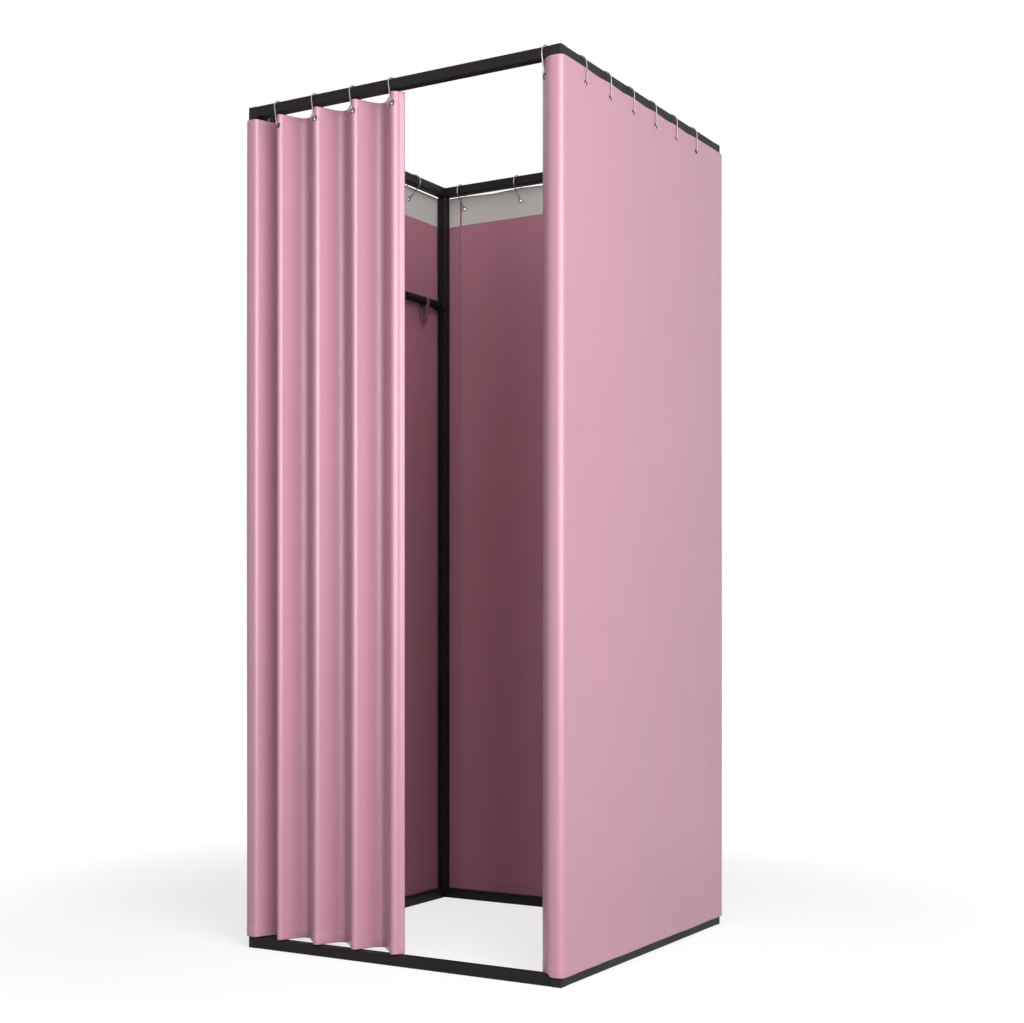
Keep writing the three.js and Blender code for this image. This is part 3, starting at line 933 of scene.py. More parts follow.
@dataclass(frozen=True)
class WireRing:
    """A pear-shaped wire ring: a wide arc over the rail, two legs, and a narrow arc in an eyelet.

    It tilts out of the room in its own plane, and a drawn curtain leans that plane along the rail.
    """

    name: str
    side: Side
    tilt: float
    body: str = "frame"
    lean: float = 0.0
    top_radius: float = 0.0215
    foot_radius: float = 0.007
    foot_drop: float = 0.037
    wire_radius: float = 0.0014
    gap: float = 0.0008
    seat_clearance: float = 0.0003
    arc_steps: int = 36
    leg_steps: int = 8
    cut_leg_steps: int = 6
    cut_leg_ease: float = 1.5
    around: int = 14

    @property
    def along(self) -> float:
        """Place along the rail of the middle of the wide arc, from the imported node."""
        low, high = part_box(self.name)
        if self.lean:
            return low.x + self.wire_radius + self.top_radius * sin(self.lean)
        along_x = self.side in (Side.FRONT, Side.BACK)
        return (low.x + high.x) / 2 if along_x else (low.y + high.y) / 2

    @property
    def reach(self) -> float:
        """Distance of the foot's wire out from the middle of the rail."""
        return (self.foot_drop + self.foot_radius) * sin(self.tilt)

    @property
    def foot_along(self) -> float:
        """Place along the rail of the foot's wire, which the lean carries on."""
        return self.along + (self.foot_drop + self.foot_radius) * cos(self.tilt) * sin(self.lean)

    def centre_height(self, rails: Rails) -> float:
        """Height of the middle of the wide arc.

        The arc clears the rail's two upper edges: across a leaning plane the wire, the edge's radius and the
        clearance grow by the cosine of the lean, and the height left over them shrinks by it.

        Args:
            rails: The rails.

        Returns:
            The height.
        """
        edge = rails.tube / 2 - rails.edge_radius
        across = (self.wire_radius + rails.edge_radius + self.seat_clearance) / cos(self.lean)
        return rails.height + edge - sqrt((self.top_radius - across) ** 2 - edge**2) * cos(self.lean)

    def foot_height(self, rails: Rails) -> float:
        """Height of the middle of the wire at the foot of the ring."""
        drop = (self.foot_drop + self.foot_radius) * cos(self.tilt) * cos(self.lean)
        return self.centre_height(rails) - drop

    def build(self, rails: Rails) -> bpy.types.Object:
        """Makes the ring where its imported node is.

        The path runs through the upper half of the cut leg, the wide arc, the other leg, the foot and the
        lower half of the cut leg. Its points lie closer together towards the two cut ends. It is drawn in
        its own plane, tilted there out of the room, and the plane leans along the rail.

        Args:
            rails: The rails.

        Returns:
            The piece.
        """
        high, low = pear(self.top_radius, self.foot_radius, self.foot_drop, self.arc_steps)
        leg = high[0] - low[-1]
        middle, step = (high[0] + low[-1]) / 2, leg / np.linalg.norm(leg) * self.gap / 2
        share = np.linspace(0, 1, self.leg_steps, endpoint=False)[1:, None]
        up_share = np.linspace(0, 1, self.cut_leg_steps, endpoint=False)[:, None] ** self.cut_leg_ease
        down_share = 1 - np.linspace(1, 0, self.cut_leg_steps)[1:, None] ** self.cut_leg_ease
        plan = np.vstack([
            middle + step + (high[0] - middle - step) * up_share,
            high,
            high[-1] + (low[0] - high[-1]) * share,
            low,
            low[-1] + (middle - step - low[-1]) * down_share,
        ])
        turned = plan @ np.array([[cos(self.tilt), sin(self.tilt)], [-sin(self.tilt), cos(self.tilt)]])
        outward, up = rails.outward(self.side), np.array([0.0, 0.0, 1.0])
        upward = up * cos(self.lean) - np.cross(up, outward) * sin(self.lean)
        centre = np.array([*rails.beside(self.side, self.along, 0), self.centre_height(rails)])
        path = centre + turned[:, :1] * outward + turned[:, 1:] * upward
        angle = np.linspace(0, 2 * pi, self.around, endpoint=False)
        section = self.wire_radius * np.column_stack([np.cos(angle), np.sin(angle)])
        across = np.cross(outward, upward)
        wire = swept(f"{self.name}_wire", path, across, section, closed=False, round_ends=True)
        piece = dressed(recalculated(wire), WIRE)
        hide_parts(self.name)
        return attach(piece, self.body)


# Cloth


class Plan:
    """A curtain's line seen from above, as dense even points with their dip and outward direction."""

    spacing = 0.0005
    span_steps = 24

    def __init__(self, controls: list[Control], spread: float) -> None:
        """Draws a smooth curve through the controls.

        Args:
            controls: X, Y and the drop of the top edge at chosen points.
            spread: How far sharp bends are softened.
        """
        rough = catmull_rom(np.array(controls, float), self.span_steps)
        along = arc_lengths(rough[:, :2])
        even = np.linspace(0, along[-1], int(along[-1] / self.spacing))
        fine = np.column_stack([np.interp(even, along, column) for column in rough.T])
        fine = softened(fine, even[1], spread)
        self.arc = arc_lengths(fine[:, :2])
        self.points, self.dips = fine[:, :2], fine[:, 2]
        travel = np.gradient(self.points, axis=0)
        travel /= np.linalg.norm(travel, axis=1)[:, None]
        self.outward = np.column_stack([travel[:, 1], -travel[:, 0]])
        self.length = float(self.arc[-1])

    def at(self, arc: np.ndarray) -> tuple[np.ndarray, np.ndarray, np.ndarray]:
        """Reads the line.

        Args:
            arc: Arc lengths.

        Returns:
            Plan points, outward directions and dips there.
        """
        point = np.column_stack([np.interp(arc, self.arc, column) for column in self.points.T])
        outward = np.column_stack([np.interp(arc, self.arc, column) for column in self.outward.T])
        return point, outward, np.interp(arc, self.arc, self.dips)

    def nearest(self, point: tuple[float, float]) -> float:
        """Arc length of the line's point nearest to a plan point."""
        return float(self.arc[np.linalg.norm(self.points - np.array(point), axis=1).argmin()])


@dataclass
class Curtain:
    """One hung curtain: its cloth, hems, header tape, stitches and eyelets.

    The numbers without a type are the same for every curtain. A groove is given by its depth and its width,
    a zone of rows by its height and their number.
    """

    name: str
    rails: Rails
    rings: list[WireRing]
    controls: list[Control]
    hem: float
    swell: float = 0.0008
    swell_phase: float = 0.0
    spread: float = 0.003
    face: float = 0.0005
    thickness: float = 0.001
    top_above_eyelet: float = 0.034
    hem_height: float = 0.026
    side_hem: float = 0.013
    tape_height: float = 0.078
    tape_thickness: float = 0.0006
    eyelet_gap: float = 0.0006
    eyelet_hole: float = 0.0042
    eyelet_rim: float = 0.0075
    eyelet_half: float = 0.0013
    cloth_hole: tuple[float, float] = (0.0046, 0.0052)
    stitch_pitch: float = 0.0042
    stitch_length: float = 0.003
    column_step: float = 0.0026
    flat_step: float = 0.009
    hem_lift: float = 0.006
    lift_within: float = 0.0012
    lift_reach: float = 0.008
    lift_spread: float = 0.003

    swell_lengths = (0.31, 0.173)
    swell_shares = (1.0, 0.5)
    swell_fade = 0.5
    drift, drift_rate, slant = 0.8, 2.3, 1.7
    pleat, pleat_width, pleat_length = 0.0009, 0.011, 0.07
    hem_puff = 0.0004
    hem_groove = (0.0005, 0.0018)
    side_groove = (0.0004, 0.0016)
    tape_groove = (0.0002, 0.0018)
    beside_frame = 0.02
    fine_beside_eyelet = 0.014
    fine_beside_edge = 0.016
    fine_bend = 6.0
    step_spread = 0.004
    hem_zone, hem_rows = 0.036, 16
    head_zone, zone_rows = 0.1, 46
    dip_from = 0.9
    tape_rows = 42
    tape_inset = 0.003
    tape_below_seam = 0.004
    tape_below_top = 0.002
    tape_gap = 0.0002
    seam_margins = (0.004, 0.017)
    stitch_half = 0.00026
    stitch_taper = 0.4
    stitch_shares = (0.0, 0.22, 0.78, 1.0)
    stitch_lifts = (-0.0002, 0.00022, 0.00022, -0.0002)
    eyelet_steps, eyelet_around = 20, 36
    eyelet_crown = 0.75

    plan: Plan = field(init=False)
    places: np.ndarray = field(init=False)
    eyelet_height: float = field(init=False)
    top: float = field(init=False)
    lifts: np.ndarray = field(init=False)

    def __post_init__(self) -> None:
        """Draws the plan and finds the eyelets on it."""
        self.plan = Plan(self.controls, self.spread)
        feet = [self.rails.beside(ring.side, ring.foot_along, ring.reach) for ring in self.rings]
        self.places = np.array([self.plan.nearest(foot) for foot in feet])
        self.eyelet_height = self.hole_heights().max()
        self.top = self.eyelet_height + self.top_above_eyelet
        self.lifts = self.hem_lifts()

    def low_edge(self, arc: np.ndarray) -> np.ndarray:
        """Height of the hem, which lifts over the base rail where the cloth turns in.

        Args:
            arc: Arc lengths.

        Returns:
            Heights.
        """
        return self.hem + np.interp(arc, self.plan.arc, self.lifts)

    def hem_lifts(self) -> np.ndarray:
        """Lift of the hem at every point of the plan, where the curtain hangs lower than the base rail.

        The lift is full within a finger's width of any place over the rail, and eases off beyond it.

        Returns:
            Lifts.
        """
        if self.hem > self.rails.tube:
            return np.zeros(len(self.plan.arc))
        over = (self.rails.clearance(self.plan.points) < self.lift_within).astype(float)
        reach = int(self.lift_reach / Plan.spacing)
        widened = np.lib.stride_tricks.sliding_window_view(np.pad(over, reach, "edge"), 2 * reach + 1)
        return self.hem_lift * softened(widened.max(axis=1)[:, None], Plan.spacing, self.lift_spread)[:, 0]

    def relief(self, arc: np.ndarray, height: np.ndarray) -> np.ndarray:
        """How far the cloth stands out from its plan.

        The sum of two slow sine waves along the cloth, a pleat under each eyelet that fades exponentially, a
        puffed hem with a groove at its stitches, and like grooves at the side hems and the header tape's
        seam. The waves fade towards the top edge. With height, the crests of the first wander to and fro and
        those of the second slant. Beside the frame the cloth stays as far out as its thickness needs.

        Args:
            arc: Arc lengths.
            height: Heights above the floor.

        Returns:
            Distances outwards.
        """
        phase = self.swell_phase
        shifts = (
            phase + self.drift * np.sin(self.drift_rate * height + phase),
            2 * phase - self.slant * height,
        )
        waves = sum(
            share * np.sin(2 * pi * arc / length + shift)
            for share, length, shift in zip(self.swell_shares, self.swell_lengths, shifts)
        )
        relief = self.swell * waves * np.clip((self.top - height) / self.swell_fade, 0, 1)
        below = self.eyelet_height - height
        fade = np.exp(-np.clip(below, 0, None) / self.pleat_length) * (below > 0)
        for place in self.places:
            relief += self.pleat * bell(arc - place, self.pleat_width) * fade
        above_hem = height - self.low_edge(arc)
        relief += self.hem_puff * bell(above_hem - self.hem_height / 2, self.hem_height / 2)
        grooves = (
            (above_hem - self.hem_height, self.hem_groove),
            (arc - self.side_hem, self.side_groove),
            (arc - self.plan.length + self.side_hem, self.side_groove),
            (height - self.top + self.tape_height, self.tape_groove),
        )
        for distance, (depth, width) in grooves:
            relief -= depth * bell(distance, width)
        room = np.interp(arc, self.plan.arc, self.rails.clearance(self.plan.points))
        beside = (room > 0) & (room < self.beside_frame)
        return np.where(beside, np.maximum(relief, self.thickness - room), relief)

    def surface(self, arc: np.ndarray, height: np.ndarray, lift: float = 0.0) -> np.ndarray:
        """Points of the outer face of the cloth, or beside it.

        Args:
            arc: Arc lengths.
            height: Heights above the floor.
            lift: Distance out from the outer face.

        Returns:
            Points, one a row.
        """
        point, outward, _ = self.plan.at(arc)
        stand = self.face + lift + self.relief(arc, height)
        return np.column_stack([point + outward * stand[:, None], height])

    def columns(self) -> np.ndarray:
        """Arc lengths of the grid's columns, close together at bends, with one on each edge of every hole.

        Returns:
            Arc lengths from edge to edge.
        """
        turn = np.unwrap(np.arctan2(self.plan.outward[:, 1], self.plan.outward[:, 0]))
        bend = np.abs(np.gradient(turn, self.plan.arc))
        to_eyelet = np.min(np.abs(self.plan.arc[:, None] - self.places[None, :]), axis=1)
        to_edge = np.minimum(self.plan.arc, self.plan.length - self.plan.arc)
        fine = (to_eyelet < self.fine_beside_eyelet) | (to_edge < self.fine_beside_edge)
        step = np.where(fine | (bend > self.fine_bend), self.column_step, self.flat_step)[:, None]
        step = softened(step, Plan.spacing, self.step_spread)[:, 0]
        count = np.concatenate([[0.0], np.cumsum(np.diff(self.plan.arc) / step[1:])])
        arcs = np.interp(np.linspace(0, count[-1], int(count[-1]) + 1), count, self.plan.arc)
        for side in (-1, 1):
            edges = self.places + side * self.cloth_hole[0]
            arcs[np.abs(arcs[:, None] - edges).argmin(axis=0)] = edges
        return arcs

    def sheet(
        self,
        suffix: str,
        arc: np.ndarray,
        height: np.ndarray,
        lift: float,
        thickness: float,
        *finishes: Finish,
    ) -> bpy.types.Object:
        """Makes one layer: a grid of arc length and height with a hole at each eyelet.

        A face is left out where the sum of the squares of its middle's distances from an eyelet, each over
        the hole's half width or half height, is less than 1.

        Args:
            suffix: What follows the curtain's name in the piece's.
            arc: Arc lengths of the columns.
            height: Heights, one row of the grid a row.
            lift: Distance of the layer's outer face out from the cloth's.
            thickness: Its thickness, inwards.
            *finishes: The finish of the outer face, and that of the inner one if it differs.

        Returns:
            The piece, with a live modifier that gives it its thickness.
        """
        quads = grid_quads(*height.shape)
        arc, height = np.broadcast_to(arc, height.shape).ravel(), height.ravel()
        middle = np.column_stack([arc[quads].mean(1), height[quads].mean(1)])
        offset = middle[:, None, :] - np.column_stack([self.places, self.hole_heights()])[None, :, :]
        inside = ((offset / np.array(self.cloth_hole)) ** 2).sum(-1) < 1
        used, quads = np.unique(quads[~inside.any(1)], return_inverse=True)
        points, uv = self.surface(arc, height, lift)[used], np.column_stack([arc, height])[used]
        piece = new_piece(f"{self.name}_{suffix}", points, quads.reshape(-1, 4).tolist(), uv)
        solid = piece.modifiers.new("thickness", "SOLIDIFY")
        solid.thickness, solid.offset, solid.material_offset = thickness, -1.0, len(finishes) - 1
        return dressed(piece, *finishes)

    def build_cloth(self) -> bpy.types.Object:
        """Makes the cloth, with its rows close together at the hem and at the head."""
        columns, tall = self.columns(), self.top - self.hem
        seam, head = self.hem_zone, tall - self.head_zone
        hem_rows = np.linspace(0, seam, self.hem_rows)
        body_rows = np.linspace(seam, head, self.zone_rows)[1:]
        head_rows = np.linspace(head, tall, self.zone_rows)[1:]
        share = np.concatenate([hem_rows, body_rows, head_rows])[:, None] / tall
        low, dips = self.low_edge(columns), self.plan.at(columns)[2]
        sag = np.maximum(0, (share - self.dip_from) / (1 - self.dip_from))
        height = low + (self.top - low) * share - dips * sag
        # The inner face takes the darker lining, which paints part of the shade inside the room.
        return self.sheet("cloth", columns, height, 0.0, self.thickness, CLOTH, SHADED_LINING)

    def build_tape(self) -> bpy.types.Object:
        """Makes the pale tape that backs the head of the cloth, with the same holes."""
        columns = self.columns()
        inset = self.tape_inset
        columns = columns[(columns > inset) & (columns < self.plan.length - inset)]
        low = self.top - self.tape_height - self.tape_below_seam
        high = self.top - self.plan.at(columns)[2] - self.tape_below_top
        height = low + (high - low) * np.linspace(0, 1, self.tape_rows)[:, None]
        lift = -self.thickness - self.tape_gap
        return self.sheet("header_tape", columns, height, lift, self.tape_thickness, FACING)

    def hole_heights(self) -> np.ndarray:
        """Heights of the middles of the eyelets."""
        feet = np.array([ring.foot_height(self.rails) + ring.wire_radius for ring in self.rings])
        return feet + self.eyelet_gap - self.eyelet_hole

    def seam_ends(self) -> tuple[np.ndarray, np.ndarray]:
        """Places of the ends of every stitch, as arc length and height.

        Returns:
            Starts and ends, one stitch a row.
        """
        inset, (start, end) = self.side_hem, self.seam_margins
        along = np.arange(inset, self.plan.length - inset, self.stitch_pitch)
        up = np.arange(self.hem + start, self.top - end, self.stitch_pitch)
        seams = [
            (along, self.low_edge(along) + self.hem_height),
            (along, self.top - self.tape_height),
            (inset, up),
            (self.plan.length - inset, up),
        ]
        steps = [(self.stitch_length, 0)] * 2 + [(0, self.stitch_length)] * 2
        starts = [np.column_stack(np.broadcast_arrays(arc, height)) for arc, height in seams]
        ends = [seam + step for seam, step in zip(starts, steps)]
        return np.vstack(starts), np.vstack(ends)

    def build_stitches(self) -> bpy.types.Object:
        """Makes all the stitches: short threads that rise out of the cloth and dive back into it.

        Each is four small square sections along its line, the outer two sunk below the face.

        Returns:
            The piece.
        """
        starts, ends = self.seam_ends()
        first, last = (self.surface(*place.T)[:, None, None, :] for place in (starts, ends))
        travel = (last - first) / np.linalg.norm(last - first, axis=-1, keepdims=True)
        outward = self.plan.at(starts[:, 0])[1]
        normal = np.column_stack([outward, np.zeros(len(outward))])[:, None, None, :]
        across = np.cross(normal, travel)
        share, lift = (np.array(v)[None, :, None, None] for v in (self.stitch_shares, self.stitch_lifts))
        side, rise = (np.array(v)[None, None, :, None] for v in ((-1, 1, 1, -1), (0, 0, 1, 1)))
        half = self.stitch_half
        middle = first + (last - first) * share + normal * lift
        points = middle + across * half * side * (1 - self.stitch_taper * rise) + normal * half * rise
        points = points.reshape(-1, 3)
        size = 4 * len(self.stitch_shares)
        caps = [[3, 2, 1, 0], [size - 4, size - 3, size - 2, size - 1]]
        unit = np.vstack([ring_quads(len(self.stitch_shares), 4), caps])
        faces = (np.arange(len(starts))[:, None, None] * size + unit).reshape(-1, 4)
        piece = new_piece(f"{self.name}_stitches", points, faces.tolist())
        return dressed(recalculated(piece), THREAD)

    def build_eyelet(self, number: int) -> bpy.types.Object:
        """Makes one pressed eyelet: a crowned washer on each face, joined by a rounded throat.

        Its section is an ellipse made squarer, by a power of less than 1 of the cosine.

        Args:
            number: Which ring it is for.

        Returns:
            The piece.
        """
        ring, one = self.rings[number], slice(number, number + 1)
        arc, height = self.places[one], self.hole_heights()[one]
        axis = np.array([*self.plan.at(arc)[1][0], 0.0])
        axis /= np.linalg.norm(axis)
        centre = self.surface(arc, height, -self.thickness / 2)[0]
        angle = np.linspace(0, 2 * pi, self.eyelet_steps, endpoint=False)
        middle, wide = (self.eyelet_hole + self.eyelet_rim) / 2, (self.eyelet_rim - self.eyelet_hole) / 2
        square = np.abs(np.cos(angle)) ** self.eyelet_crown * np.sign(np.cos(angle))
        profile = np.column_stack([middle + wide * square, self.eyelet_half * np.sin(angle)])
        eyelet = revolved(f"{ring.name}_eyelet", profile, centre, axis, self.eyelet_around)
        piece = dressed(recalculated(eyelet), EYELET)
        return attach(piece, ring.body)

    def build(self, place: Callable[[bpy.types.Object], object]) -> list[bpy.types.Object]:
        """Makes all the pieces of the curtain.

        Args:
            place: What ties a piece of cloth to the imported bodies.

        Returns:
            The pieces, the cloth first.
        """
        cloth, tape, stitches = self.build_cloth(), self.build_tape(), self.build_stitches()
        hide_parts(self.name)
        for piece in (cloth, tape, stitches):
            place(piece)
        eyelets = [self.build_eyelet(number) for number in range(len(self.rings))]
        return [cloth, tape, stitches, *eyelets]


@dataclass
class CurtainSet:
    """The four curtains and their rings.

    The shares of a fold say how far along the rail, from one ring to the next, and how far out of the room a
    control lies: 1 is at a crest and 0 in a valley.
    """

    rails: Rails
    hanging_tilt: float = radians(25)
    turned_tilt: float = radians(10)
    drawn_lean: float = radians(10)
    corner_radius: float = 0.013
    door_corner_radius: float = 0.015
    front_turn: float = radians(44)
    edge_reach: float = 0.015
    panel_lap: float = 0.004
    hem: float = 0.022
    door_hem: float = 0.028
    fold_front: float = 0.019
    fold_back: float = -0.039
    free_edge: float = 0.021
    free_edge_reach: float = -0.003
    door_top_above_eyelet: float = 0.026
    door_hole: tuple[float, float] = (0.0033, 0.0052)
    fullness: float = 0.0007
    sag: float = 0.003
    blend_start: float = -0.400
    back_inset: float = 0.0012
    pitch_steps: int = 4
    corner_steps: int = 7

    curl_shares = ((0.2, 0.42), (0.42, 0.84), (0.65, 1.0))
    first_fold_shares = (
        (0.12, 1.0), (0.22, 0.98), (0.28, 0.81), (0.34, 0.585), (0.39, 0.38),
        (0.445, 0.19), (0.5, 0.06), (0.557, 0.0), (0.62, 0.05), (0.7, 0.2),
        (0.78, 0.4), (0.86, 0.65), (0.925, 0.875), (0.965, 0.97),
    )
    fold_shares = (
        (0.035, 1.0), (0.075, 0.93), (0.115, 0.76), (0.16, 0.57), (0.215, 0.36),
        (0.28, 0.16), (0.35, 0.035), (0.41, 0.0), (0.475, 0.04), (0.555, 0.15),
        (0.65, 0.33), (0.75, 0.5), (0.85, 0.69), (0.915, 0.865), (0.96, 0.965),
    )
    last_fold_shares = ((0.18, 1.0), (0.42, 0.93), (0.72, 0.76))

    def __post_init__(self) -> None:
        """Lists the rings of each curtain in the order in which its line passes them."""
        still, lean = self.hanging_tilt, self.drawn_lean
        self.front_ring = WireRing("front_ring", Side.FRONT, self.turned_tilt)
        self.door_end_ring = WireRing("door_end_ring", Side.LEFT, still)
        self.right = [WireRing(f"right_ring_{n}", Side.RIGHT, still) for n in range(1, 7)]
        self.back = [WireRing(f"back_ring_{n}", Side.BACK, still) for n in range(5, 0, -1)]
        self.left = [WireRing(f"left_ring_{n}", Side.LEFT, still) for n in range(4, 0, -1)]
        bodies = [*(f"door_ring_{n}_body" for n in range(1, 4)), "door_lead"]
        self.door = [
            WireRing(f"door_ring_{n}", Side.FRONT, still, body, lean) for n, body in enumerate(bodies, 1)
        ]

    @property
    def hang(self) -> float:
        """Distance of a still curtain out from the middle of its rail."""
        return self.right[0].reach

    def flat(self, side: Side, along: float, reach: float, dip: float = 0.0) -> Control:
        """One control of a plan.

        Args:
            side: Side of the room.
            along: Place along the rail.
            reach: Distance out from the rail's middle.
            dip: Drop of the top edge.

        Returns:
            X, Y and the drop.
        """
        return (*self.rails.beside(side, along, reach), dip)

    def corner(self, side_x: int, side_y: int, start: float, radius: float | None = None) -> list[Control]:
        """Controls of a quarter turn round a corner of the room.

        Args:
            side_x: Side of X, as a sign.
            side_y: Side of Y, as a sign.
            start: Direction of the first one from the arc's middle.
            radius: Radius of the turn, if it isn't the usual one.

        Returns:
            The controls, anticlockwise.
        """
        radius = radius or self.corner_radius
        middle_x = side_x * (self.rails.middle_x + self.hang - radius)
        middle_y = side_y * (self.rails.middle_y + self.hang - radius)
        angles = start + np.linspace(0, pi / 2, self.corner_steps)
        return [(middle_x + radius * cos(a), middle_y + radius * sin(a), 0.0) for a in angles]

    def hanging(self, side: Side, rings: list[WireRing]) -> list[Control]:
        """Controls along a side that hangs flat, a little fuller and lower between the rings.

        Args:
            side: Side of the room.
            rings: Its rings in the order of travel.

        Returns:
            The controls.
        """
        places = np.array([ring.along for ring in rings])
        share = np.linspace(0, len(places) - 1, self.pitch_steps * (len(places) - 1) + 1)
        along = np.interp(share, np.arange(len(places)), places)
        full = np.sin(pi * share) ** 2
        return [self.flat(side, a, self.hang + self.fullness * f, self.sag * f) for a, f in zip(along, full)]

    def fold(self, start: float, end: float, shares: tuple[float, float]) -> Control:
        """Control of a door fold, at a share of the way along the front rail and one of the way out."""
        along, out = shares
        reach = self.fold_back + (self.fold_front - self.fold_back) * out
        return self.flat(Side.FRONT, start + (end - start) * along, reach)

    def right_plan(self) -> list[Control]:
        """Plan of the right curtain, from its turned-in front edge round both right corners.

        Returns:
            The controls.
        """
        ring, reach, edge = self.front_ring.along, self.front_ring.reach, self.edge_reach
        corner_start = self.rails.middle_x + self.hang - self.corner_radius
        turned_in = self.flat(
            Side.FRONT, ring - edge * cos(self.front_turn), reach - edge * sin(self.front_turn)
        )
        curl = [
            self.flat(Side.FRONT, ring + (corner_start - ring) * a, reach + (self.hang - reach) * out)
            for a, out in self.curl_shares
        ]
        end = self.flat(Side.BACK, self.back[0].along + edge - self.panel_lap, self.hang)
        return [
            turned_in,
            self.flat(Side.FRONT, ring, reach),
            *curl,
            *self.corner(1, -1, -pi / 2),
            *self.hanging(Side.RIGHT, self.right),
            *self.corner(1, 1, 0),
            end,
        ]

    def back_plan(self) -> list[Control]:
        """Plan of the back curtain, which hangs between the other two.

        Returns:
            The controls.
        """
        first, last = self.back[0].along + self.edge_reach, self.back[-1].along - self.edge_reach
        return [
            self.flat(Side.BACK, first, self.hang - self.back_inset),
            *self.hanging(Side.BACK, self.back),
            self.flat(Side.BACK, last, self.hang - self.back_inset),
        ]

    def left_plan(self) -> list[Control]:
        """Plan of the left curtain, from the back round its corner to the door curtain.

        Returns:
            The controls.
        """
        start = self.flat(Side.BACK, self.back[-1].along - self.edge_reach + self.panel_lap, self.hang)
        end = self.flat(Side.LEFT, self.door_end_ring.along + self.edge_reach - self.panel_lap, self.hang)
        return [start, *self.corner(-1, 1, pi / 2), *self.hanging(Side.LEFT, self.left), end]

    def door_plan(self) -> list[Control]:
        """Plan of the door curtain: held round the front left corner, then one deep fold to each ring.

        Returns:
            The controls.
        """
        end_ring = self.door_end_ring
        corner = self.corner(-1, -1, pi, self.door_corner_radius)
        places = [ring.foot_along for ring in self.door]
        plan = [
            self.flat(Side.LEFT, end_ring.along + self.edge_reach, self.hang),
            self.flat(Side.LEFT, end_ring.along, self.hang),
            *corner,
            *(self.fold(corner[-1][0], places[0], shares) for shares in self.first_fold_shares),
        ]
        for start, end in zip(places, places[1:]):
            plan.append(self.flat(Side.FRONT, start, self.hang))
            plan.extend(self.fold(start, end, shares) for shares in self.fold_shares)
        last = places[-1]
        plan.append(self.flat(Side.FRONT, last, self.hang))
        plan.extend(self.fold(last, last + self.free_edge, shares) for shares in self.last_fold_shares)
        plan.append(self.flat(Side.FRONT, last + self.free_edge, self.free_edge_reach))
        return plan

    def on_frame(self, piece: bpy.types.Object) -> None:
        """Ties a piece to the frame."""
        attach(piece, "frame")

    def on_door(self, piece: bpy.types.Object) -> None:
        """Bakes a piece's placement into its points, and ties it to no body."""
        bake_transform(piece)

    def build(self) -> None:
        """Makes the rings and the curtains."""
        still = [
            Curtain("right_curtain", self.rails, [self.front_ring, *self.right], self.right_plan(), self.hem),
            Curtain("back_curtain", self.rails, self.back, self.back_plan(), self.hem, swell_phase=1.3),
            Curtain("left_curtain", self.rails, self.left, self.left_plan(), self.hem, swell_phase=2.4),
        ]
        door = Curtain(
            "door_curtain",
            self.rails,
            [self.door_end_ring, *self.door],
            self.door_plan(),
            self.door_hem,
            swell=0.0006,
            swell_phase=0.7,
            flat_step=0.0034,
            top_above_eyelet=self.door_top_above_eyelet,
            cloth_hole=self.door_hole,
        )
        for ring in [self.front_ring, self.door_end_ring, *self.right, *self.back, *self.left, *self.door]:
            ring.build(self.rails)
        for curtain in (*still, door):
            held, place = ("gathered", self.on_door) if curtain is door else ("hung", self.on_frame)
            cloth, *others = curtain.build(place)


# Frame and fittings


@dataclass
class SteelFrame:
    """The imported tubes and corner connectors, which keep their shape and get their finishes."""

    steel_words: tuple[str, ...] = ("rail_front", "rail_back", "rail_left", "rail_right", "post")
    plastic_words: tuple[str, ...] = ("corner", "joiner")

    def build(self) -> None:
        """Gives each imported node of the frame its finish."""
        kinds = ((self.plastic_words, PLASTIC), (self.steel_words, STEEL))
        for name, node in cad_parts.items():
            finish = next((finish for words, finish in kinds if any(word in name for word in words)), None)
            if finish:
                dressed(node, finish)
                LOG.info("%s: %s", name, finish.title)


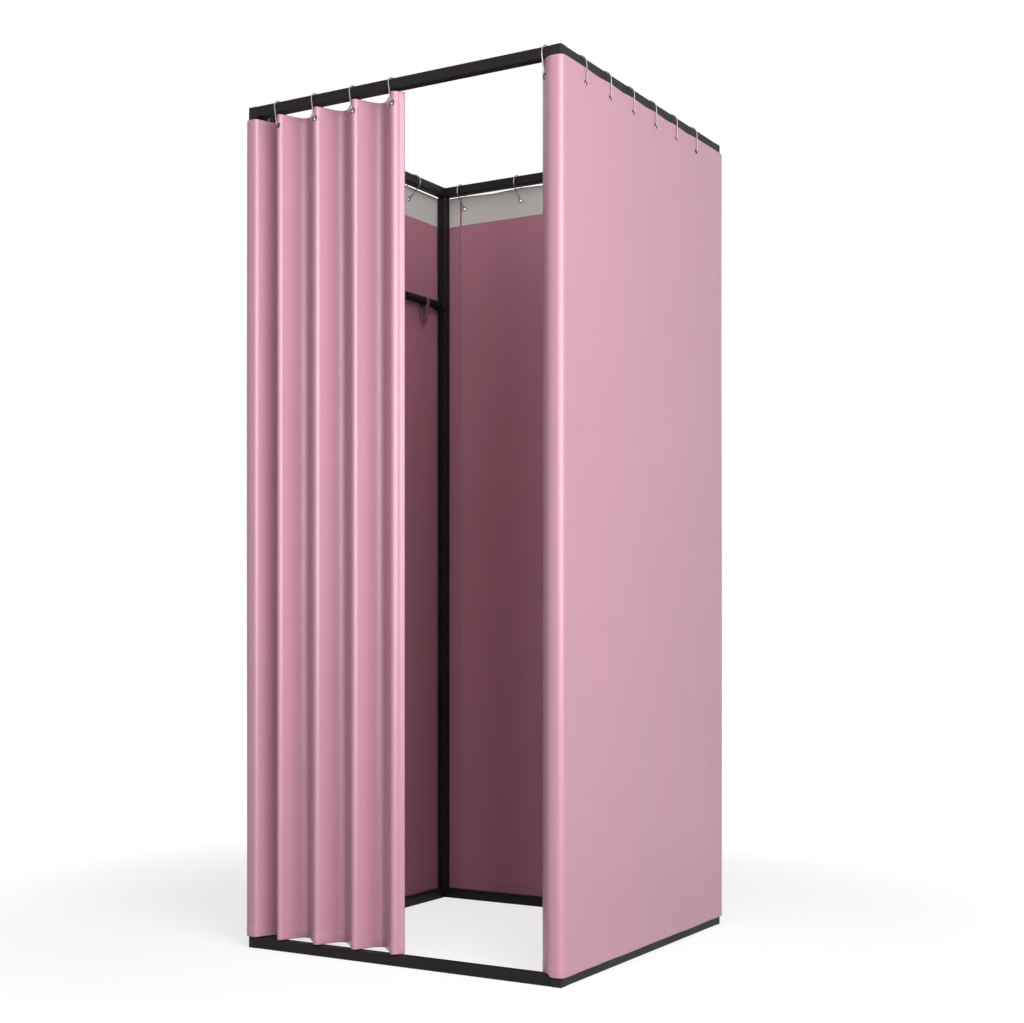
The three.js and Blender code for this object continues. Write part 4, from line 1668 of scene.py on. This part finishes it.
@dataclass
class ClothesRail:
    """The round rail for clothes, its two cups and the strap loop that hangs on it."""

    rails: Rails
    wall: float = 0.0012
    around: int = 64
    cup_base: float = 0.003
    cup_lip: float = 0.001
    lip_steps: int = 6
    edge_steps: int = 4
    cup_clearance: float = 0.0003
    strap_thickness: float = 0.0016
    strap_steps: int = 56
    strap_leg_steps: int = 12
    strap_clearance: float = 0.0003
    foot_radius: float = 0.003
    strap_edge: float = 0.0004
    tube_chamfer: float = 0.0005
    cup_bore: float = 0.0005
    cup_chamfer: float = 0.0006

    def build(self) -> None:
        """Makes the rail, the cups and the strap."""
        low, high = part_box("clothes_rail")
        centre = np.array([(low.x + high.x) / 2, 0.0, (low.z + high.z) / 2])
        radius = (high.z - low.z) / 2
        axis = np.array([0.0, 1.0, 0.0])
        bore, chamfer = radius - self.wall, self.tube_chamfer
        tube = np.array([
            (bore, low.y),
            (radius - chamfer, low.y),
            (radius, low.y + chamfer),
            (radius, high.y - chamfer),
            (radius - chamfer, high.y),
            (bore, high.y),
        ])
        rail = recalculated(revolved("clothes_rail_tube", tube, centre, axis, self.around))
        self.place(rail, "clothes_rail", "frame_paint", "frame", STEEL)
        for node, side in (("rail_socket_front", 1), ("rail_socket_back", -1)):
            self.build_cup(node, side, centre, radius)
        self.build_strap(centre, radius)
        LOG.info("clothes rail: tube, two cups and strap loop")

    def place(self, piece: bpy.types.Object, node: str, slot: str, body: str, finish: Finish) -> None:
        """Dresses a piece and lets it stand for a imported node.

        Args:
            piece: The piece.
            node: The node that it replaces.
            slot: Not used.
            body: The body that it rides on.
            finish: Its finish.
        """
        dressed(piece, finish)
        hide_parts(node)
        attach(piece, body)

    def build_cup(self, node: str, side: int, centre: np.ndarray, radius: float) -> None:
        """Makes one cup from its base on the post to its rounded lip.

        Args:
            node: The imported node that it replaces.
            side: 1 if the cup opens towards +Y, and -1 if it opens the other way.
            centre: Middle of the rail.
            radius: Radius of the rail.
        """
        low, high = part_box(node)
        base, depth = (low.y, high.y - low.y) if side > 0 else (high.y, high.y - low.y)
        outer, inner = (high.z - low.z) / 2, radius + self.cup_clearance
        lip = np.linspace(0, pi / 2, self.lip_steps)
        edge = self.cup_lip
        crown = np.column_stack([outer - edge + edge * np.cos(lip), depth - edge + edge * np.sin(lip)])
        profile = np.vstack([
            [(self.cup_bore, 0.0), (outer - self.cup_chamfer, 0.0), (outer, self.cup_chamfer)],
            crown,
            [(inner, depth), (inner, self.cup_base), (self.cup_bore, self.cup_base)],
        ])
        axis = np.array([0.0, float(side), 0.0])
        origin = np.array([centre[0], base, centre[2]])
        cup = recalculated(revolved(f"{node}_cup", profile, origin, axis, self.around))
        self.place(cup, node, "connector_plastic", "frame", PLASTIC)

    def build_strap(self, centre: np.ndarray, radius: float) -> None:
        """Makes the strap: a flat band bent over the rail, narrowing to a small round foot.

        Args:
            centre: Middle of the rail.
            radius: Radius of the rail.
        """
        low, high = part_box("garment_loop")
        half = self.strap_thickness / 2
        top_radius, foot = radius + self.strap_clearance + half, self.foot_radius + half
        drop = centre[2] - low.z - self.foot_radius - self.strap_thickness
        wide_arc, foot_arc = pear(top_radius, foot, drop, self.strap_steps)
        left = np.linspace(0, 1, self.strap_leg_steps)[1:-1, None]
        plan = np.vstack([
            wide_arc,
            wide_arc[-1] + (foot_arc[0] - wide_arc[-1]) * left,
            foot_arc,
            foot_arc[-1] + (wide_arc[0] - foot_arc[-1]) * left,
        ])
        middle = np.array([centre[0], (low.y + high.y) / 2, centre[2]])
        path = middle + np.column_stack([-plan[:, 0], np.zeros(len(plan)), plan[:, 1]])
        wide, edge = (high.y - low.y) / 2, self.strap_edge
        corners = [(half - edge, wide - edge), (edge - half, wide - edge), (edge - half, edge - wide)]
        corners.append((half - edge, edge - wide))
        turn = np.linspace(0, pi / 2, self.edge_steps)
        section = np.vstack([
            np.column_stack([x + edge * np.cos(turn + at * pi / 2), y + edge * np.sin(turn + at * pi / 2)])
            for at, (x, y) in enumerate(corners)
        ])
        strap = swept("garment_loop_strap", path, np.array([0.0, 1.0, 0.0]), section, closed=True)
        self.place(recalculated(strap), "garment_loop", "strap_metal", "garment_loop_body", STRAP)


# Studio


@dataclass(frozen=True)
class Lamp:
    """A soft rectangular lamp that looks at a point."""

    name: str
    place: tuple[float, float, float]
    target: tuple[float, float, float]
    size: tuple[float, float]
    watts: float

    def build(self) -> None:
        """Makes the lamp, tipped up from looking down and turned about the vertical to face its target."""
        data = bpy.data.lights.new(self.name, "AREA")
        data.shape = "RECTANGLE"
        data.size, data.size_y = self.size
        data.energy = self.watts
        lamp = bpy.data.objects.new(self.name, data)
        bpy.context.scene.collection.objects.link(lamp)
        away = np.array(self.target) - np.array(self.place)
        lamp.location = self.place
        tip, turn = atan2(hypot(away[0], away[1]), -away[2]), atan2(-away[0], away[1])
        lamp.rotation_euler = (tip, 0, turn)


def seen_directly(nodes: NodeTree) -> bpy.types.NodeSocket:
    """Mask that is 1 for rays from the camera, from a reflection or through a clear piece.

    Args:
        nodes: The tree to add it to.

    Returns:
        The mask.
    """
    rays = nodes.add("LightPath").outputs
    mirrored = nodes.maths("MAXIMUM", rays["Is Glossy Ray"], rays["Is Transmission Ray"])
    return nodes.maths("MAXIMUM", rays["Is Camera Ray"], mirrored)


@dataclass
class Studio:
    """Camera, lamps, pale floor and white surroundings."""

    camera_place: tuple[float, float, float] = (2.0545, -3.400, 0.7714)
    camera_turn: float = radians(30.47)
    sensor: float = 36.0
    lens: float = 56.38
    shift_up: float = 0.1095
    floor_size: float = 40.0
    floor_drop: float = 0.0004
    floor_colour: str = "#a09f9e"
    ambient: float = 0.14
    near_glow: float = 0.72
    white_from: float = 0.9
    white_by: float = 2.6
    lamps: tuple[Lamp, ...] = (
        Lamp("key lamp", (3.2, -2.25, 1.9), (0.0, 0.0, 1.3), (2.8, 2.9), 168.0),
        Lamp("high lamp", (2.9, -2.2, 4.2), (0.2, -0.2, 1.8), (1.6, 1.6), 30.0),
        Lamp("front lamp", (2.2, -4.7, 1.8), (0.0, 0.0, 1.2), (0.7, 3.0), 48.0),
        Lamp("doorway lamp", (1.0, -4.8, 1.9), (0.2, 0.0, 1.0), (0.7, 1.6), 24.0),
        Lamp("top lamp", (0.0, -0.6, 4.6), (0.0, 0.0, 1.0), (2.5, 2.5), 25.0),
    )

    def build_camera(self) -> None:
        """Makes the camera: level, turned to the left, with its picture shifted up."""
        data = bpy.data.cameras.new("camera")
        data.lens, data.sensor_width, data.sensor_fit = self.lens, self.sensor, "HORIZONTAL"
        data.shift_y = self.shift_up
        camera = bpy.data.objects.new("camera", data)
        bpy.context.scene.collection.objects.link(camera)
        camera.location = self.camera_place
        camera.rotation_euler = (pi / 2, 0, self.camera_turn)
        bpy.context.scene.camera = camera

    def build_floor(self) -> None:
        """Makes the floor, plain and pale, which keeps the room's shadow.

        To the camera, and in reflections, it glows a little beside the room and turns to plain white away
        from it, by the level distance from the middle of the room.
        """
        corners = np.array([(-1, -1, 0), (1, -1, 0), (1, 1, 0), (-1, 1, 0)]) * self.floor_size / 2
        floor = new_piece("studio_floor", corners - [0, 0, self.floor_drop], [[0, 1, 2, 3]], smooth=False)
        material = bpy.data.materials.new("pale floor")
        material.use_nodes = True
        material.node_tree.nodes.clear()
        nodes = NodeTree(material.node_tree)
        matt = nodes.add("BsdfDiffuse", {0: linear(self.floor_colour)})
        place = nodes.add("TexCoord").outputs["Object"]
        distance = nodes.add("VectorMath", {0: place}, operation="LENGTH").outputs["Value"]
        glow = nodes.add(
            "MapRange",
            {
                "Value": distance,
                "From Min": self.white_from,
                "From Max": self.white_by,
                "To Min": self.near_glow,
                "To Max": 1.0,
            },
            interpolation_type="SMOOTHSTEP",
        )
        seen = nodes.maths("MULTIPLY", glow.outputs[0], seen_directly(nodes))
        white = nodes.add("Emission", {0: (1.0, 1.0, 1.0, 1.0), 1: seen})
        both = nodes.add("AddShader", {0: matt.outputs[0], 1: white.outputs[0]})
        nodes.add("OutputMaterial", {0: both.outputs[0]})
        floor.data.materials.append(material)

    def build_surroundings(self) -> None:
        """Makes the world: white where the camera, a reflection or a clear piece sees it, softer as light."""
        world = bpy.data.worlds.new("surroundings")
        world.use_nodes = True
        world.node_tree.nodes.clear()
        nodes = NodeTree(world.node_tree)
        seen = seen_directly(nodes)
        strength = nodes.add("MapRange", {"Value": seen, "To Min": self.ambient, "To Max": 1.0})
        sky = nodes.add("Background", {0: (1.0, 1.0, 1.0, 1.0), 1: strength.outputs[0]})
        nodes.add("OutputWorld", {0: sky.outputs[0]})
        bpy.context.scene.world = world

    def build(self) -> None:
        """Makes everything round the room."""
        bpy.context.scene.view_settings.view_transform = "Standard"
        self.build_camera()
        self.build_floor()
        self.build_surroundings()
        for lamp in self.lamps:
            lamp.build()
        LOG.info("studio: %d lamps", len(self.lamps))


def main() -> None:
    """Builds the studio and the room."""
    logging.basicConfig(level=logging.INFO, format="%(message)s")
    rails = Rails.read()
    Studio().build()
    SteelFrame().build()
    ClothesRail(rails).build()
    CurtainSet(rails).build()


if __name__ == "__main__":
    main()
